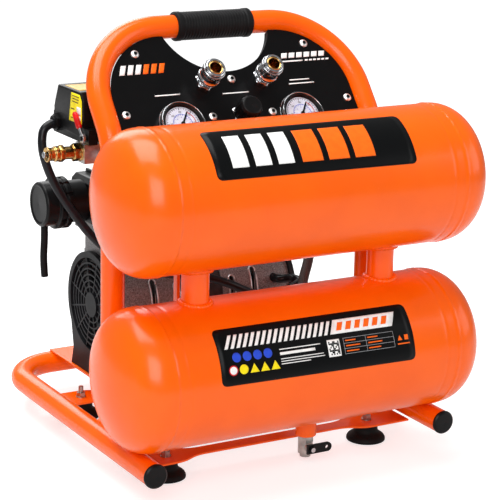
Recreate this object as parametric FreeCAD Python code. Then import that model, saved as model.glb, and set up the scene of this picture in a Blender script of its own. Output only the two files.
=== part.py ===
"""Twin-tank portable air compressor: oil-free twin pump on a bent-tube frame.

Units are millimetres, +Z is up, the operator stands on the -Y side and the
tanks lie along X.  While it is drawn, Y = 0 is the plane of the two tank axes
and Z = 0 is the floor; export() then moves the origin to the bottom centre.
"""
import FreeCAD, Part
import math
import os

V = FreeCAD.Vector

# ---------------------------------------------------------------- tanks
TANK_R = 65.0            # outer radius of both tanks
TANK_WALL = 2.5
SHELL_HALF = 147.0       # half length of the rolled shell
SKIRT = 4.7              # straight part of each pressed head
HEAD_DEPTH = 37.8        # dome depth past the skirt
KNUCKLE_R = 30.0
LOWER_Z = 108.5          # height of the lower tank's axis
UPPER_Z = 268.5
LINK_X, LINK_R, LINK_WALL = 98.0, 12.5, 2.0

# ---------------------------------------------------------------- tube frame
TUBE_R, TUBE_WALL = 11.0, 1.5
BASE_Z = 31.0            # centre height of the base tube
BASE_X = 154.0           # centre of each side tube
FRONT_Y, REAR_Y = -34.5, 297.0
BASE_BEND = 50.0
LEG_X, LEG_Y = 138.0, 84.0
LEAN = math.radians(38.8)        # backward lean of the handle and panel
HOOP_Y, HOOP_Z = 102.9, 333.8    # point of the leaning plane at s = 0
HOOP_TOP = 80.8                  # bar centre, measured up the leaning plane
HOOP_BACK = 4.0                  # the bar's centre lies this far behind the leaning plane
HOOP_BEND = 77.5
LEG_BEND = 50.0
GRIP_R, GRIP_HALF = 13.2, 40.5

# ---------------------------------------------------------------- sheet parts
SHEET = 2.0
FOOT_X, FRONT_FOOT_Y, REAR_FOOT_Y = 110.0, 30.0, 213.0
FOOT_H = 18.0
PUMP_PLATE = (105.0, 165.0, 300.0)      # half width, front Y, rear Y

# ---------------------------------------------------------------- control panel
PANEL_BACK, PANEL_FRONT = -2.5, -1.0
PANEL_LOW = -56.0
CUT_R, CUT_S = 60.0, 88.0        # round hand cut-out and its centre
GAUGES_X = (-67.0, 61.0)         # tank gauge, outlet gauge
GAUGE_S, GAUGE_R = -25.0, 22.0
COUPLER_X, COUPLER_S = 31.0, 16.0
KNOB_S, KNOB_R = -20.0, 11.0
SCREWS = [(-91, 52), (91, 52), (-118.5, -10), (118.5, -10), (0, 19), (-32, -18.5), (32, -18.5)]

# ---------------------------------------------------------------- pump
PUMP_Y, PUMP_Z = 207.0, 116.0    # shaft axis
DRUM_R, DRUM_WALL = 50.0, 3.0
DRUM_IN, DRUM_OUT = 20.0, 97.0   # extent of each crankcase along X
WALL_IN, WALL_OUT = 46.0, 84.0   # bearing walls
CYL_X, BORE_R = 70.0, 22.0
PLATE_TOP = 44.0
SHAFT_R, FIT = 6.0, 0.05
STROKE, ECCENTRIC_R = 16.0, 15.5
SEAT_TOP = 160.0                 # machined flat that carries each cylinder
PUMP_BOLTS = [(x, PUMP_Y + dy) for x in (-82, -38, 38, 82) for dy in (-30, 30)]
SHROUD_R = 53.0
SHROUD_RINGS = (18.0, 24.0, 30.0, 36.0, 41.5)
SLOTS = ((31.0, -20.0, 22.0), (56.0, -20.0, 27.5))    # place along X, lower and upper end round the shaft

# ---------------------------------------------------------------- side fittings
SWITCH = (-148.0, -108.0, 127.0, 191.0, 297.0, 343.0)
VALVE_Y, VALVE_Z = 150.0, 284.0
LEVER_Y, LEVER_Z = 120.0, 303.0
DRAIN_X, BALL_Z, BALL_R = 22.0, 18.0, 5.0
FILTER_Z = 223.0
LEAD_R, LEAD_Y, LEAD_Z = 4.2, 183.0, 307.0      # motor lead and where it leaves the switch
HOSE_R = 3.5
BRAID_R = 5.0
LEAD_END = (79.0, PUMP_Y - 43.0, 134.0)          # where the lead enters the right crankcase
SUPPLY_X, SUPPLY_Z = -114.0, 276.0
INLET = (72.0, 74.0, 124.0)      # outer end of the check valve on the lower tank

ORIGIN_Y = (REAR_Y + TUBE_R - TANK_R) / 2

X, Y, Z = V(1, 0, 0), V(0, 1, 0), V(0, 0, 1)
FULL = 360.0


# ---------------------------------------------------------------- small helpers
def rod(radius, start, end):
    """Solid cylinder between two points."""
    start, end = V(*start), V(*end)
    return Part.makeCylinder(radius, (end - start).Length, start, end - start)


def pipe(outer, inner, start, end):
    return rod(outer, start, end).cut(rod(inner, start, end))


def block(x0, x1, y0, y1, z0, z1):
    return Part.makeBox(x1 - x0, y1 - y0, z1 - z0, V(x0, y0, z0))


def join(shapes):
    """Fuse a list of overlapping solids into one."""
    shapes = list(shapes)
    return shapes[0].multiFuse(shapes[1:]).removeSplitter()


def group(shapes):
    return Part.makeCompound(list(shapes))


def mirrored(shape):
    """The same piece on the other side of the X = 0 plane."""
    return shape.mirror(V(0, 0, 0), X)


def both_sides(shape):
    return group([shape, mirrored(shape)])


def prism(points, depth, normal):
    """Extrude a closed polygon along a vector of the given length."""
    corners = [V(*p) for p in points]
    face = Part.Face(Part.makePolygon(corners + corners[:1]))
    return face.extrude(V(*normal) * depth)


def hexagon(flats, start, end):
    """Hexagonal bar between two points, by its width across flats."""
    start, end = V(*start), V(*end)
    radius = flats / math.sqrt(3)
    ring = [V(radius * math.cos(a), radius * math.sin(a), 0)
            for a in (math.radians(60 * k) for k in range(6))]
    face = Part.Face(Part.makePolygon(ring + ring[:1]))
    bar = face.extrude(V(0, 0, (end - start).Length))
    bar.Placement = FreeCAD.Placement(start, FreeCAD.Rotation(Z, end - start))
    return bar


def lathe(profile, origin, axis):
    """Turn a closed (radius, height) profile round an axis through origin."""
    corners = [V(r, 0, h) for r, h in profile]
    face = Part.Face(Part.makePolygon(corners + corners[:1]))
    turned = face.revolve(V(0, 0, 0), Z, FULL)
    turned.Placement = FreeCAD.Placement(V(*origin), FreeCAD.Rotation(Z, V(*axis)))
    return turned


def rounded_edges(points, radii):
    """Straight runs joined by tangent arcs; points are the route's corners."""
    points = [V(*p) for p in points]
    edges, last = [], points[0]
    for before, corner, after, radius in zip(points, points[1:], points[2:], radii):
        u, w = (before - corner).normalize(), (after - corner).normalize()
        half = u.getAngle(w) / 2
        reach = radius / math.tan(half)
        bisector = (u + w).normalize()
        middle = corner + bisector * (radius / math.sin(half) - radius)
        enter, leave = corner + u * reach, corner + w * reach
        if (enter - last).Length > 1e-6:
            edges.append(Part.LineSegment(last, enter).toShape())
        edges.append(Part.Arc(enter, middle, leave).toShape())
        last = leave
    edges.append(Part.LineSegment(last, points[-1]).toShape())
    return edges


def bent_rod(points, radii, radius):
    """Round bar along a route, built run by run and fused."""
    pieces = []
    for edge in rounded_edges(points, radii):
        start = edge.valueAt(edge.FirstParameter)
        disc = Part.Face(Part.Wire(Part.makeCircle(radius, start, edge.tangentAt(edge.FirstParameter))))
        if edge.Curve.TypeId == "Part::GeomCircle":
            circle = edge.Curve
            angle = math.degrees(edge.LastParameter - edge.FirstParameter)
            pieces.append(disc.revolve(circle.Center, circle.Axis, angle))
        else:
            pieces.append(disc.extrude(edge.tangentAt(edge.FirstParameter) * edge.Length))
    return join(pieces)


def bent_tube(points, radii, outer, wall):
    return bent_rod(points, radii, outer).cut(bent_rod(points, radii, outer - wall))


def free_radii(points):
    """Largest tangent arc that each corner's two runs allow."""
    points = [V(*p) for p in points]
    radii = []
    for before, corner, after in zip(points, points[1:], points[2:]):
        turn = math.pi - (before - corner).getAngle(after - corner)
        shorter = min((before - corner).Length, (after - corner).Length)
        radii.append(0.45 * shorter / math.tan(turn / 2))
    return radii


def cable(name, points, radius):
    """Flexible tube along a hand-chosen route; reports its radii and volume."""
    radii = free_radii(points)
    solid = bent_rod(points, radii, radius)
    length = sum(edge.Length for edge in rounded_edges(points, radii))
    ratio = solid.Volume / (math.pi * radius ** 2 * length)
    print(name, "length", round(length, 1), "radii", [round(r) for r in radii], "volume ratio", round(ratio, 4))
    return solid


def on_panel(shape):
    """Place a piece drawn flat (x, up the panel, out of the panel) on the leaning plane."""
    moved = shape.copy()
    turn = FreeCAD.Rotation(X, 90 - math.degrees(LEAN))
    moved.Placement = FreeCAD.Placement(V(0, HOOP_Y, HOOP_Z), turn).multiply(moved.Placement)
    return moved


def plane_point(x, s, out=0.0):
    """Point on the leaning plane: s up the plane, out towards the operator."""
    return (x, HOOP_Y + s * math.sin(LEAN) - out * math.cos(LEAN),
            HOOP_Z + s * math.cos(LEAN) + out * math.sin(LEAN))


# ---------------------------------------------------------------- tanks
def dome(radius, depth, knuckle, length):
    """Solid torispherical head: skirt, knuckle arc and crown arc, axis along +X."""
    offset = radius - knuckle
    crown = (offset ** 2 + depth ** 2 - knuckle ** 2) / (2 * (depth - knuckle))
    centre = depth - crown
    angle = math.atan2(offset, -centre)
    split = V(centre + crown * math.cos(angle), 0, crown * math.sin(angle))
    half = (math.pi / 2 + angle) / 2
    knuckle_mid = V(knuckle * math.cos(half), 0, offset + knuckle * math.sin(half))
    crown_mid = V(centre + crown * math.cos(angle / 2), 0, crown * math.sin(angle / 2))
    rim, nose = V(0, 0, radius), V(depth, 0, 0)
    edges = [Part.LineSegment(V(-length, 0, 0), V(-length, 0, radius)).toShape(),
             Part.LineSegment(V(-length, 0, radius), rim).toShape(),
             Part.Arc(rim, knuckle_mid, split).toShape(),
             Part.Arc(split, crown_mid, nose).toShape(),
             Part.LineSegment(nose, V(-length, 0, 0)).toShape()]
    return Part.Face(Part.Wire(edges)).revolve(V(0, 0, 0), X, FULL)


def tank_head(z):
    outer = dome(TANK_R, HEAD_DEPTH, KNUCKLE_R, SKIRT)
    inner = dome(TANK_R - TANK_WALL, HEAD_DEPTH - TANK_WALL, KNUCKLE_R - TANK_WALL, SKIRT)
    head = outer.cut(inner)
    head.translate(V(SHELL_HALF + SKIRT, 0, z))
    return both_sides(head)


def tank_shell(z):
    return pipe(TANK_R, TANK_R - TANK_WALL, (-SHELL_HALF, 0, z), (SHELL_HALF, 0, z))


def tank_solid(z, radius=TANK_R):
    return rod(radius, (-SHELL_HALF, 0, z), (SHELL_HALF, 0, z))


def tanks():
    passage = LINK_R - LINK_WALL
    links = both_sides(rod(passage, (LINK_X, 0, LOWER_Z), (LINK_X, 0, UPPER_Z)))
    drain = rod(BALL_R, (DRAIN_X, 0, 0), (DRAIN_X, 0, LOWER_Z))
    outlet = rod(4.0, (INLET[0], 0, INLET[2]), INLET)
    supply = rod(4.0, (SUPPLY_X, 0, SUPPLY_Z), (SUPPLY_X, TANK_R + 10, SUPPLY_Z))
    part = {"lower_tank_shell": tank_shell(LOWER_Z).cut(group([links, drain, outlet])),
            "upper_tank_shell": tank_shell(UPPER_Z).cut(group([links, supply])),
            "lower_tank_heads": tank_head(LOWER_Z),
            "upper_tank_heads": tank_head(UPPER_Z)}
    pipes = both_sides(pipe(LINK_R, passage, (LINK_X, 0, LOWER_Z), (LINK_X, 0, UPPER_Z)))
    boss = pipe(10.0, BALL_R, (DRAIN_X, 0, 29), (DRAIN_X, 0, LOWER_Z - TANK_R + 6))
    part["drain_boss"] = boss.cut(tank_solid(LOWER_Z))
    strap = block(-91.5, -88.5, 46, 54, LOWER_Z, UPPER_Z)
    part["tank_links"] = group([pipes, strap]).cut(group([tank_solid(LOWER_Z), tank_solid(UPPER_Z)]))
    return part


# ---------------------------------------------------------------- frame
def base_points():
    return [(-BASE_X, FRONT_Y, BASE_Z), (-BASE_X, REAR_Y, BASE_Z),
            (BASE_X, REAR_Y, BASE_Z), (BASE_X, FRONT_Y, BASE_Z)]


def hoop_points():
    start = (LEG_Y - HOOP_Y - HOOP_BACK * math.cos(LEAN)) / math.sin(LEAN)
    knee_z = plane_point(0, start, -HOOP_BACK)[2]
    corner = plane_point(-LEG_X, HOOP_TOP, -HOOP_BACK)
    left = [(-LEG_X, LEG_Y, BASE_Z + 4), (-LEG_X, LEG_Y, knee_z), corner]
    return left + [(-x, y, z) for x, y, z in reversed(left)]


def s_bend(start, end):
    """Two equal arcs that leave and arrive parallel to X."""
    start, end = V(*start), V(*end)
    rise = end.y - start.y
    run = end.x - start.x
    radius = (run ** 2 + rise ** 2) / (4 * abs(rise))
    half = math.asin(abs(run) / 2 / radius) / 2
    step = V(math.copysign(radius * math.sin(half), run),
             math.copysign(radius * (1 - math.cos(half)), rise), 0)
    middle = (start + end) / 2
    return [Part.Arc(start, start + step, middle).toShape(),
            Part.Arc(middle, end - step, end).toShape()]


def foot_plate(centre_y):
    """Sheet strip under the side tubes, wider where the feet bolt on."""
    z = FOOT_H
    end_x, wide_x, narrow_x = BASE_X - 6, FOOT_X - 2, 72.0
    wide, narrow = 18.0, 8.0
    front = centre_y - wide
    edges = [Part.LineSegment(V(-end_x, front, z), V(-wide_x, front, z)).toShape()]
    edges += s_bend((-wide_x, front, z), (-narrow_x, centre_y - narrow, z))
    waist = centre_y - narrow
    edges.append(Part.LineSegment(V(-narrow_x, waist, z), V(narrow_x, waist, z)).toShape())
    edges += s_bend((narrow_x, centre_y - narrow, z), (wide_x, front, z))
    edges.append(Part.LineSegment(V(wide_x, front, z), V(end_x, front, z)).toShape())
    edges.append(Part.LineSegment(V(end_x, front, z), V(end_x, centre_y, z)).toShape())
    half = Part.Wire(edges)
    back = half.mirror(V(0, centre_y, 0), Y)
    closing = Part.LineSegment(V(-end_x, centre_y, z), V(-end_x, front, z)).toShape()
    edges += [closing, closing.mirror(V(0, centre_y, 0), Y)] + back.Edges
    outline = Part.Wire(Part.__sortEdges__(edges))
    plate = Part.Face(outline).extrude(V(0, 0, SHEET))
    holes = both_sides(rod(3.2, (FOOT_X, centre_y, 0), (FOOT_X, centre_y, 40)))
    return plate.cut(holes)


def rubber_foot(x, y):
    cup = lathe([(3.2, 6), (3.2, FOOT_H), (12.5, FOOT_H), (11.5, 12), (12.0, 9), (17.5, 5), (19, 2.5),
                 (19, 0), (13.5, 0), (9.0, 6)], (x, y, 0), (0, 0, 1))
    return cup


def foot_bolt(x, y):
    """M5 screw up through the foot, with a washer and nut on top of the plate."""
    top = FOOT_H + SHEET
    shank = rod(2.5, (x, y, 2.5), (x, y, top + 11))
    head = rod(6.0, (x, y, 2.5), (x, y, 6))
    washer = rod(5.0, (x, y, top), (x, y, top + 1.0))
    return join([shank, head, washer, hexagon(8, (x, y, top + 1.0), (x, y, top + 5.0))])


def frame():
    feet = [(sx * FOOT_X, y) for sx in (-1, 1) for y in (FRONT_FOOT_Y, REAR_FOOT_Y)]
    base = bent_tube(base_points(), [BASE_BEND] * 2, TUBE_R, TUBE_WALL)
    cap = lathe([(0, 0), (TUBE_R, 0), (TUBE_R, 1.5), (9.5, 3), (0, 3.4)],
                (BASE_X, FRONT_Y, BASE_Z), (0, -1, 0))
    plug = rod(TUBE_R - TUBE_WALL - FIT, (BASE_X, FRONT_Y, BASE_Z), (BASE_X, FRONT_Y + 12, BASE_Z))
    radii = [LEG_BEND, HOOP_BEND, HOOP_BEND, LEG_BEND]
    side_tube = rod(TUBE_R, (BASE_X, 0, BASE_Z), (BASE_X, 200, BASE_Z))
    hoop = bent_tube(hoop_points(), radii, TUBE_R, TUBE_WALL).cut(both_sides(side_tube))
    legs = both_sides(rod(TUBE_R, (LEG_X, LEG_Y, 0), (LEG_X, LEG_Y, 300)))
    spacers = []
    for z in (LOWER_Z, UPPER_Z):
        pad = block(LEG_X - 8, LEG_X + 8, 58, 80, z - 10, z + 10)
        spacers += [pad, mirrored(pad)]
    spacers = group(spacers).cut(group([legs, tank_solid(LOWER_Z), tank_solid(UPPER_Z)]))
    half, front, rear = PUMP_PLATE
    riser = block(58, 92, REAR_FOOT_Y - 9, REAR_FOOT_Y + 9, FOOT_H + SHEET, PLATE_TOP - SHEET)
    riser = riser.cut(block(60, 90, REAR_FOOT_Y - 9, REAR_FOOT_Y + 9, FOOT_H + SHEET, PLATE_TOP - 2 * SHEET))
    plate = block(-half, half, front, rear, PLATE_TOP - SHEET, PLATE_TOP)
    lip = block(-half, half, front, front + SHEET, PLATE_TOP - 10, PLATE_TOP - SHEET)
    plate = join([plate, lip]).cut(group(rod(3.2, (x, y, 0), (x, y, 80)) for x, y in PUMP_BOLTS))
    grip_end = plane_point(GRIP_HALF, HOOP_TOP, -HOOP_BACK)
    grip_start = (-grip_end[0], grip_end[1], grip_end[2])
    return {"base_tube": base,
            "tube_end_caps": both_sides(join([cap, plug])),
            "handle_hoop": hoop,
            "hoop_brackets": group([spacers, panel_tabs()]),
            "foot_plates": group([foot_plate(FRONT_FOOT_Y), foot_plate(REAR_FOOT_Y)]),
            "pump_plate": group([plate, both_sides(riser)]),
            "rubber_feet": group(rubber_foot(x, y) for x, y in feet),
            "foot_bolts": group(foot_bolt(x, y) for x, y in feet),
            "handle_grip": pipe(GRIP_R, TUBE_R, grip_start, grip_end)}


# ---------------------------------------------------------------- control panel
def panel_outline(thickness_from, thickness_to):
    """Sheet inside the hoop, with the concave hand cut-out and a folded lip round it."""
    side = LEG_X - TUBE_R - 0.3
    top = HOOP_TOP - TUBE_R - 0.3
    bend = HOOP_BEND - TUBE_R - 0.3
    depth = thickness_to - thickness_from
    sheet = block(-side, side, PANEL_LOW, top, thickness_from, thickness_to)
    corner = block(side - bend, side + 1, top - bend, top + 1, thickness_from, thickness_to)
    corner = corner.cut(Part.makeCylinder(bend, depth, V(side - bend, top - bend, thickness_from)))
    return sheet.cut(group([corner, mirrored(corner)]))


def panel_hole(radius, x, s):
    return Part.makeCylinder(radius, 20, V(x, s, -10))


def control_panel():
    sheet = panel_outline(PANEL_BACK, PANEL_FRONT)
    hand = Part.makeCylinder(CUT_R, 20, V(0, CUT_S, -10))
    lip = Part.makeCylinder(CUT_R + 1.5, 6, V(0, CUT_S, PANEL_BACK - 6)).cut(hand)
    lip = lip.common(panel_outline(PANEL_BACK - 6, PANEL_BACK))
    holes = [panel_hole(2.2, x, s) for x, s in SCREWS]
    holes += [panel_hole(20.2, x, GAUGE_S) for x in GAUGES_X]
    holes += [panel_hole(7.6, sx * COUPLER_X, COUPLER_S) for sx in (-1, 1)]
    holes.append(panel_hole(8.6, 0, KNOB_S))
    return on_panel(join([sheet, lip]).cut(hand).cut(group(holes)))


def panel_tabs():
    """Sheet ears welded inside the hoop that take the four outer screws."""
    depth = 2.0
    low = PANEL_BACK - depth
    side = block(112.0, LEG_X, -18, -2, low, PANEL_BACK)
    side = side.cut(Part.makeCylinder(2.2, 20, V(118.5, -10, -12)))
    upper = block(-8, 16, -8, 8, low, PANEL_BACK)
    upper.rotate(V(0, 0, 0), Z, math.degrees(math.atan2(52 - HOOP_TOP + HOOP_BEND, 91 - LEG_X + HOOP_BEND)))
    upper.translate(V(91, 52, 0))
    upper = upper.cut(Part.makeCylinder(2.2, 20, V(91, 52, -12)))
    tabs = on_panel(group([side, mirrored(side), upper, mirrored(upper)]))
    return tabs.cut(bent_rod(hoop_points(), [LEG_BEND, HOOP_BEND, HOOP_BEND, LEG_BEND], TUBE_R))


def panel_screw(x, s):
    """Button-head screw and its shank."""
    head = lathe([(0, 0), (4.2, 0), (4.0, 1.2), (2.6, 2.4), (1.5, 2.6), (1.5, 1.0), (0, 1.0)],
                 (x, s, PANEL_FRONT), (0, 0, 1))
    shank = Part.makeCylinder(2.0, 7.0, V(x, s, PANEL_FRONT - 7.0))
    return join([head, shank])


def gauge(x):
    """Case, bezel, dial and lens of one pressure gauge, drawn flat."""
    at = (x, GAUGE_S, 0)
    out = (0, 0, 1)
    r = GAUGE_R
    case = lathe([(0, -26), (r - 3, -26), (r - 2, -24), (r - 2, 3.0), (0, 3.0)], at, out)
    bezel = lathe([(r - 1.9, PANEL_FRONT), (r, PANEL_FRONT), (r, 5.0), (r - 1, 6.5), (r - 3.4, 6.5),
                   (r - 3.4, 5.6), (r - 1.9, 5.6)], at, out)
    dial = lathe([(1.0, 3.0), (r - 2.2, 3.0), (r - 2.2, 3.6), (1.0, 3.6)], at, out)
    lens = lathe([(0, 5.0), (r - 2.1, 5.0), (r - 2.1, 5.5), (0, 5.5)], at, out)
    stem = Part.makeCylinder(4.5, 8, V(x, GAUGE_S, -34))
    return join([case, stem]), bezel, dial, lens


def pointer(x, angle):
    """Needle on its arbor, just above the dial; angle is anticlockwise from +X."""
    hub = Part.makeCylinder(1.6, 0.8, V(x, GAUGE_S, 3.8))
    hub = hub.fuse(Part.makeCylinder(0.8, 0.5, V(x, GAUGE_S, 3.3)))
    needle = prism([(-4.5, -0.7, 3.9), (14.5, -0.15, 3.9), (14.5, 0.15, 3.9), (-4.5, 0.7, 3.9)], 0.4, (0, 0, 1))
    needle.rotate(V(0, 0, 0), Z, angle)
    needle.translate(V(x, GAUGE_S, 0))
    return on_panel(join([hub, needle]))


def coupler_sleeve(x):
    """Sprung release sleeve with a grip rib at each end."""
    return on_panel(lathe([(8.0 + FIT, 12), (11.0, 12), (11.0, 15), (10.2, 16), (10.2, 23), (11.0, 24),
                           (11.0, 27.6), (8.0 + FIT, 27.6)], (x, COUPLER_S, 0), (0, 0, 1)))


def coupler_body(x):
    """Socket that an air plug pushes into, with its retaining ring."""
    return lathe([(5.6, -1), (7.4, -1), (7.4, 6.2), (8.0, 6.2), (8.0, 28), (9.4, 28), (9.4, 29.5), (8.4, 30.5),
                  (5.6, 30.5)], (x, COUPLER_S, 0), (0, 0, 1))


def coupler_nut(x):
    hexed = hexagon(18, (x, COUPLER_S, PANEL_FRONT), (x, COUPLER_S, 6.0))
    return hexed.cut(Part.makeCylinder(7.5, 30, V(x, COUPLER_S, -10)))


def outlet_manifold():
    """Bar behind the panel that feeds both couplers from the regulator."""
    bar = block(-44, 44, 6, 25, -24, -6.0)
    port = [Part.makeCylinder(4.0, 20, V(sx * COUPLER_X, COUPLER_S, -20)) for sx in (-1, 1)]
    feed = rod(4.0, (-40, COUPLER_S, -15), (40, COUPLER_S, -15))
    screw = Part.makeCylinder(2.1, 3, V(0, 19, -8.5))
    spigot = [pipe(7.4, 4.0, (x, COUPLER_S, -6.0), (x, COUPLER_S, -1.0)) for x in (-COUPLER_X, COUPLER_X)]
    neck = block(-9, 9, 4.9 + KNOB_S, 6, -22, -8)
    neck = neck.cut(Part.makeCylinder(16.1, 60, V(0, KNOB_S, -40)))
    return on_panel(join([bar, neck] + spigot).cut(group(port + [feed, screw])))


def regulator_body():
    """Diaphragm body behind the panel, its threaded neck and the spindle."""
    return lathe([(0, -38), (9, -38), (14, -33), (16, -30), (16, -14), (11, -9), (8.4, -6), (8.4, 2.5),
                  (5.0, 2.5), (5.0, 16), (0, 16)], (0, KNOB_S, 0), (0, 0, 1))


def regulator_nut():
    ring = hexagon(22, (0, KNOB_S, PANEL_FRONT), (0, KNOB_S, 2.4))
    return ring.cut(Part.makeCylinder(8.5, 30, V(0, KNOB_S, -10)))


def regulator_knob():
    """Fluted knob, a running fit on the spindle."""
    body = lathe([(5.0 + FIT, 3.2), (KNOB_R, 3.2), (KNOB_R, 18), (KNOB_R - 2, 20.5), (0, 21), (0, 16.3),
                  (5.0 + FIT, 16.3)], (0, KNOB_S, 0), (0, 0, 1))
    flutes = []
    for k in range(14):
        a = 2 * math.pi * k / 14
        at = V((KNOB_R + 0.7) * math.cos(a), KNOB_S + (KNOB_R + 0.7) * math.sin(a), 3.2)
        flutes.append(Part.makeCylinder(1.4, 14, at))
    return on_panel(body.cut(group(flutes)))


def panel():
    left, right = gauge(GAUGES_X[0]), gauge(GAUGES_X[1])
    cases, bezels, dials, lenses = [on_panel(group(pair)) for pair in zip(left, right)]
    sides = (-COUPLER_X, COUPLER_X)
    return {"control_panel": control_panel(),
            "panel_screws": on_panel(group(panel_screw(x, s) for x, s in SCREWS)),
            "gauge_cases": cases, "gauge_bezels": bezels, "gauge_dials": dials, "gauge_lenses": lenses,
            "tank_gauge_pointer": pointer(GAUGES_X[0], 58),
            "outlet_gauge_pointer": pointer(GAUGES_X[1], 58),
            "coupler_bodies": on_panel(group(coupler_body(x) for x in sides)),
            "panel_nuts": on_panel(group([coupler_nut(x) for x in sides] + [regulator_nut()])),
            "left_coupler_sleeve": coupler_sleeve(-COUPLER_X),
            "right_coupler_sleeve": coupler_sleeve(COUPLER_X),
            "outlet_manifold": outlet_manifold(),
            "regulator_body": on_panel(regulator_body()),
            "regulator_knob": regulator_knob()}


# ---------------------------------------------------------------- pump
def shaft_rod(radius, x0, x1):
    return rod(radius, (x0, PUMP_Y, PUMP_Z), (x1, PUMP_Y, PUMP_Z))


def crankcase():
    """Right-hand cast drum with bearing walls, air slots, feet and cylinder seat."""
    drum = shaft_rod(DRUM_R, DRUM_IN, DRUM_OUT)
    seat = block(CYL_X - 26, CYL_X + 26, PUMP_Y - 24, PUMP_Y + 24, PUMP_Z + 30, SEAT_TOP)
    flat = block(CYL_X - 26.5, DRUM_OUT + 1, PUMP_Y - 30, PUMP_Y + 30, SEAT_TOP, SEAT_TOP + 20)
    feet = block(30, 90, PUMP_Y - 36, PUMP_Y + 36, PLATE_TOP, PUMP_Z - 30)
    arch = block(30, 90, PUMP_Y - 22, PUMP_Y + 22, PLATE_TOP, PUMP_Z - 56)
    hollow = [shaft_rod(DRUM_R - DRUM_WALL, DRUM_IN, WALL_IN),
              shaft_rod(DRUM_R - DRUM_WALL, WALL_IN + DRUM_WALL, WALL_OUT),
              shaft_rod(DRUM_R - DRUM_WALL, WALL_OUT + DRUM_WALL, DRUM_OUT)]
    bearing_seat = shaft_rod(11 + FIT, WALL_IN, WALL_OUT + DRUM_WALL)
    bosses = [shaft_rod(15, WALL_IN, WALL_IN + 6), shaft_rod(15, WALL_OUT - 3, WALL_OUT + DRUM_WALL)]
    bore = rod(BORE_R + 1.0, (CYL_X, PUMP_Y, PUMP_Z), (CYL_X, PUMP_Y, SEAT_TOP))
    case = join([drum, seat, feet]).cut(group(hollow)).cut(arch)
    case = join([case] + bosses).cut(group([bearing_seat, bore, flat]))
    for x, low, high in SLOTS:
        slot = block(x - 2.5, x + 2.5, PUMP_Y - 60, PUMP_Y + 60, PUMP_Z + low, PUMP_Z + high)
        ends = [rod(2.5, (x, PUMP_Y - 60, PUMP_Z + h), (x, PUMP_Y + 60, PUMP_Z + h)) for h in (low, high)]
        core = shaft_rod(DRUM_R - DRUM_WALL, x - 3, x + 3)
        case = case.cut(join([slot] + ends).cut(core))
    bolt_holes = [rod(3.2, (x, y, 0), (x, y, 80)) for x, y in PUMP_BOLTS if x > 0]
    return case.cut(group(bolt_holes))


def pump_bolts():
    bolts = []
    for x, y in PUMP_BOLTS:
        head = hexagon(10, (x, y, 38), (x, y, PLATE_TOP - SHEET))
        bolts.append(join([head, rod(3.0, (x, y, 38), (x, y, 70))]))
    return group(bolts)


def shroud():
    """Left fan guard: outer ring, rings and spokes, hub disc and a splayed foot."""
    x0, x1 = DRUM_OUT + 0.3, DRUM_OUT + 5.3
    half_top, half_low = 40.0, 45.0
    skirt = prism([(x0, PUMP_Y - SHROUD_R + 2, PUMP_Z), (x0, PUMP_Y + SHROUD_R - 2, PUMP_Z),
                   (x0, PUMP_Y + half_top, 62), (x0, PUMP_Y + half_low, PLATE_TOP),
                   (x0, PUMP_Y - half_low, PLATE_TOP), (x0, PUMP_Y - half_top, 62)], x1 - x0, (1, 0, 0))
    plate = join([shaft_rod(SHROUD_R, x0, x1), skirt]).cut(shaft_rod(SHROUD_R - 6, x0, x1))
    bars = [shaft_rod(r + 0.8, x0 + 1, x1 - 1).cut(shaft_rod(r - 0.8, x0, x1)) for r in SHROUD_RINGS]
    for k in range(12):
        spoke = block(x0 + 1, x1 - 1, PUMP_Y + 10, PUMP_Y + SHROUD_R - 5, PUMP_Z - 0.8, PUMP_Z + 0.8)
        spoke.rotate(V(0, PUMP_Y, PUMP_Z), X, 15 + 30 * k)
        bars.append(spoke)
    bars.append(shaft_rod(12.5, x0, x1))
    return both_sides(join([plate] + bars))


def fan():
    """Seven twisted blades on a hub, inside the outer end of the crankcase."""
    x0, x1 = WALL_OUT + DRUM_WALL + 0.8, DRUM_OUT - 0.8
    hub = shaft_rod(12, x0, x1).cut(shaft_rod(SHAFT_R, x0, x1))
    parts = [hub]
    for k in range(7):
        blade = block(-0.9, 0.9, 11, 44, -13, 13)
        blade.rotate(V(0, 0, 0), Y, 70)
        blade = blade.common(block(-3.9, 3.9, 0, 50, -20, 20))
        blade.translate(V((x0 + x1) / 2, PUMP_Y, PUMP_Z))
        blade.rotate(V(0, PUMP_Y, PUMP_Z), X, FULL * k / 7)
        parts.append(blade)
    return both_sides(join(parts))


def crankshaft():
    """Motor shaft with one eccentric under each cylinder, half a turn apart."""
    length = DRUM_OUT - 0.5
    pieces = [shaft_rod(SHAFT_R, -length, length)]
    for side in (-1, 1):
        y = PUMP_Y + side * STROKE / 2
        x = side * CYL_X
        pieces.append(rod(ECCENTRIC_R, (x - 6, y, PUMP_Z), (x + 6, y, PUMP_Z)))
    return join(pieces)


def piston(side):
    """Cupped piston with the stub of its rod; the rod's eye is left off."""
    x = side * CYL_X
    crown = rod(BORE_R - FIT, (x, PUMP_Y, 178), (x, PUMP_Y, 188))
    stub = block(x - 5, x + 5, PUMP_Y - 5, PUMP_Y + 5, 149, 178)
    return join([crown, stub])


def cylinder():
    """Cast block with a foot and a top flange, bored for the piston."""
    half = 26.0
    core = block(CYL_X - half, CYL_X + half, PUMP_Y - half, PUMP_Y + half, SEAT_TOP + 0.3, 203)
    foot = block(CYL_X - half, CYL_X + half, PUMP_Y - 28, PUMP_Y + 28, SEAT_TOP + 0.3, SEAT_TOP + 7)
    flange = block(CYL_X - 36, CYL_X + 36, PUMP_Y - 28, PUMP_Y + 28, 191, 203)
    return join([core, flange, foot]).cut(rod(BORE_R, (CYL_X, PUMP_Y, SEAT_TOP), (CYL_X, PUMP_Y, 203)))


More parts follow.
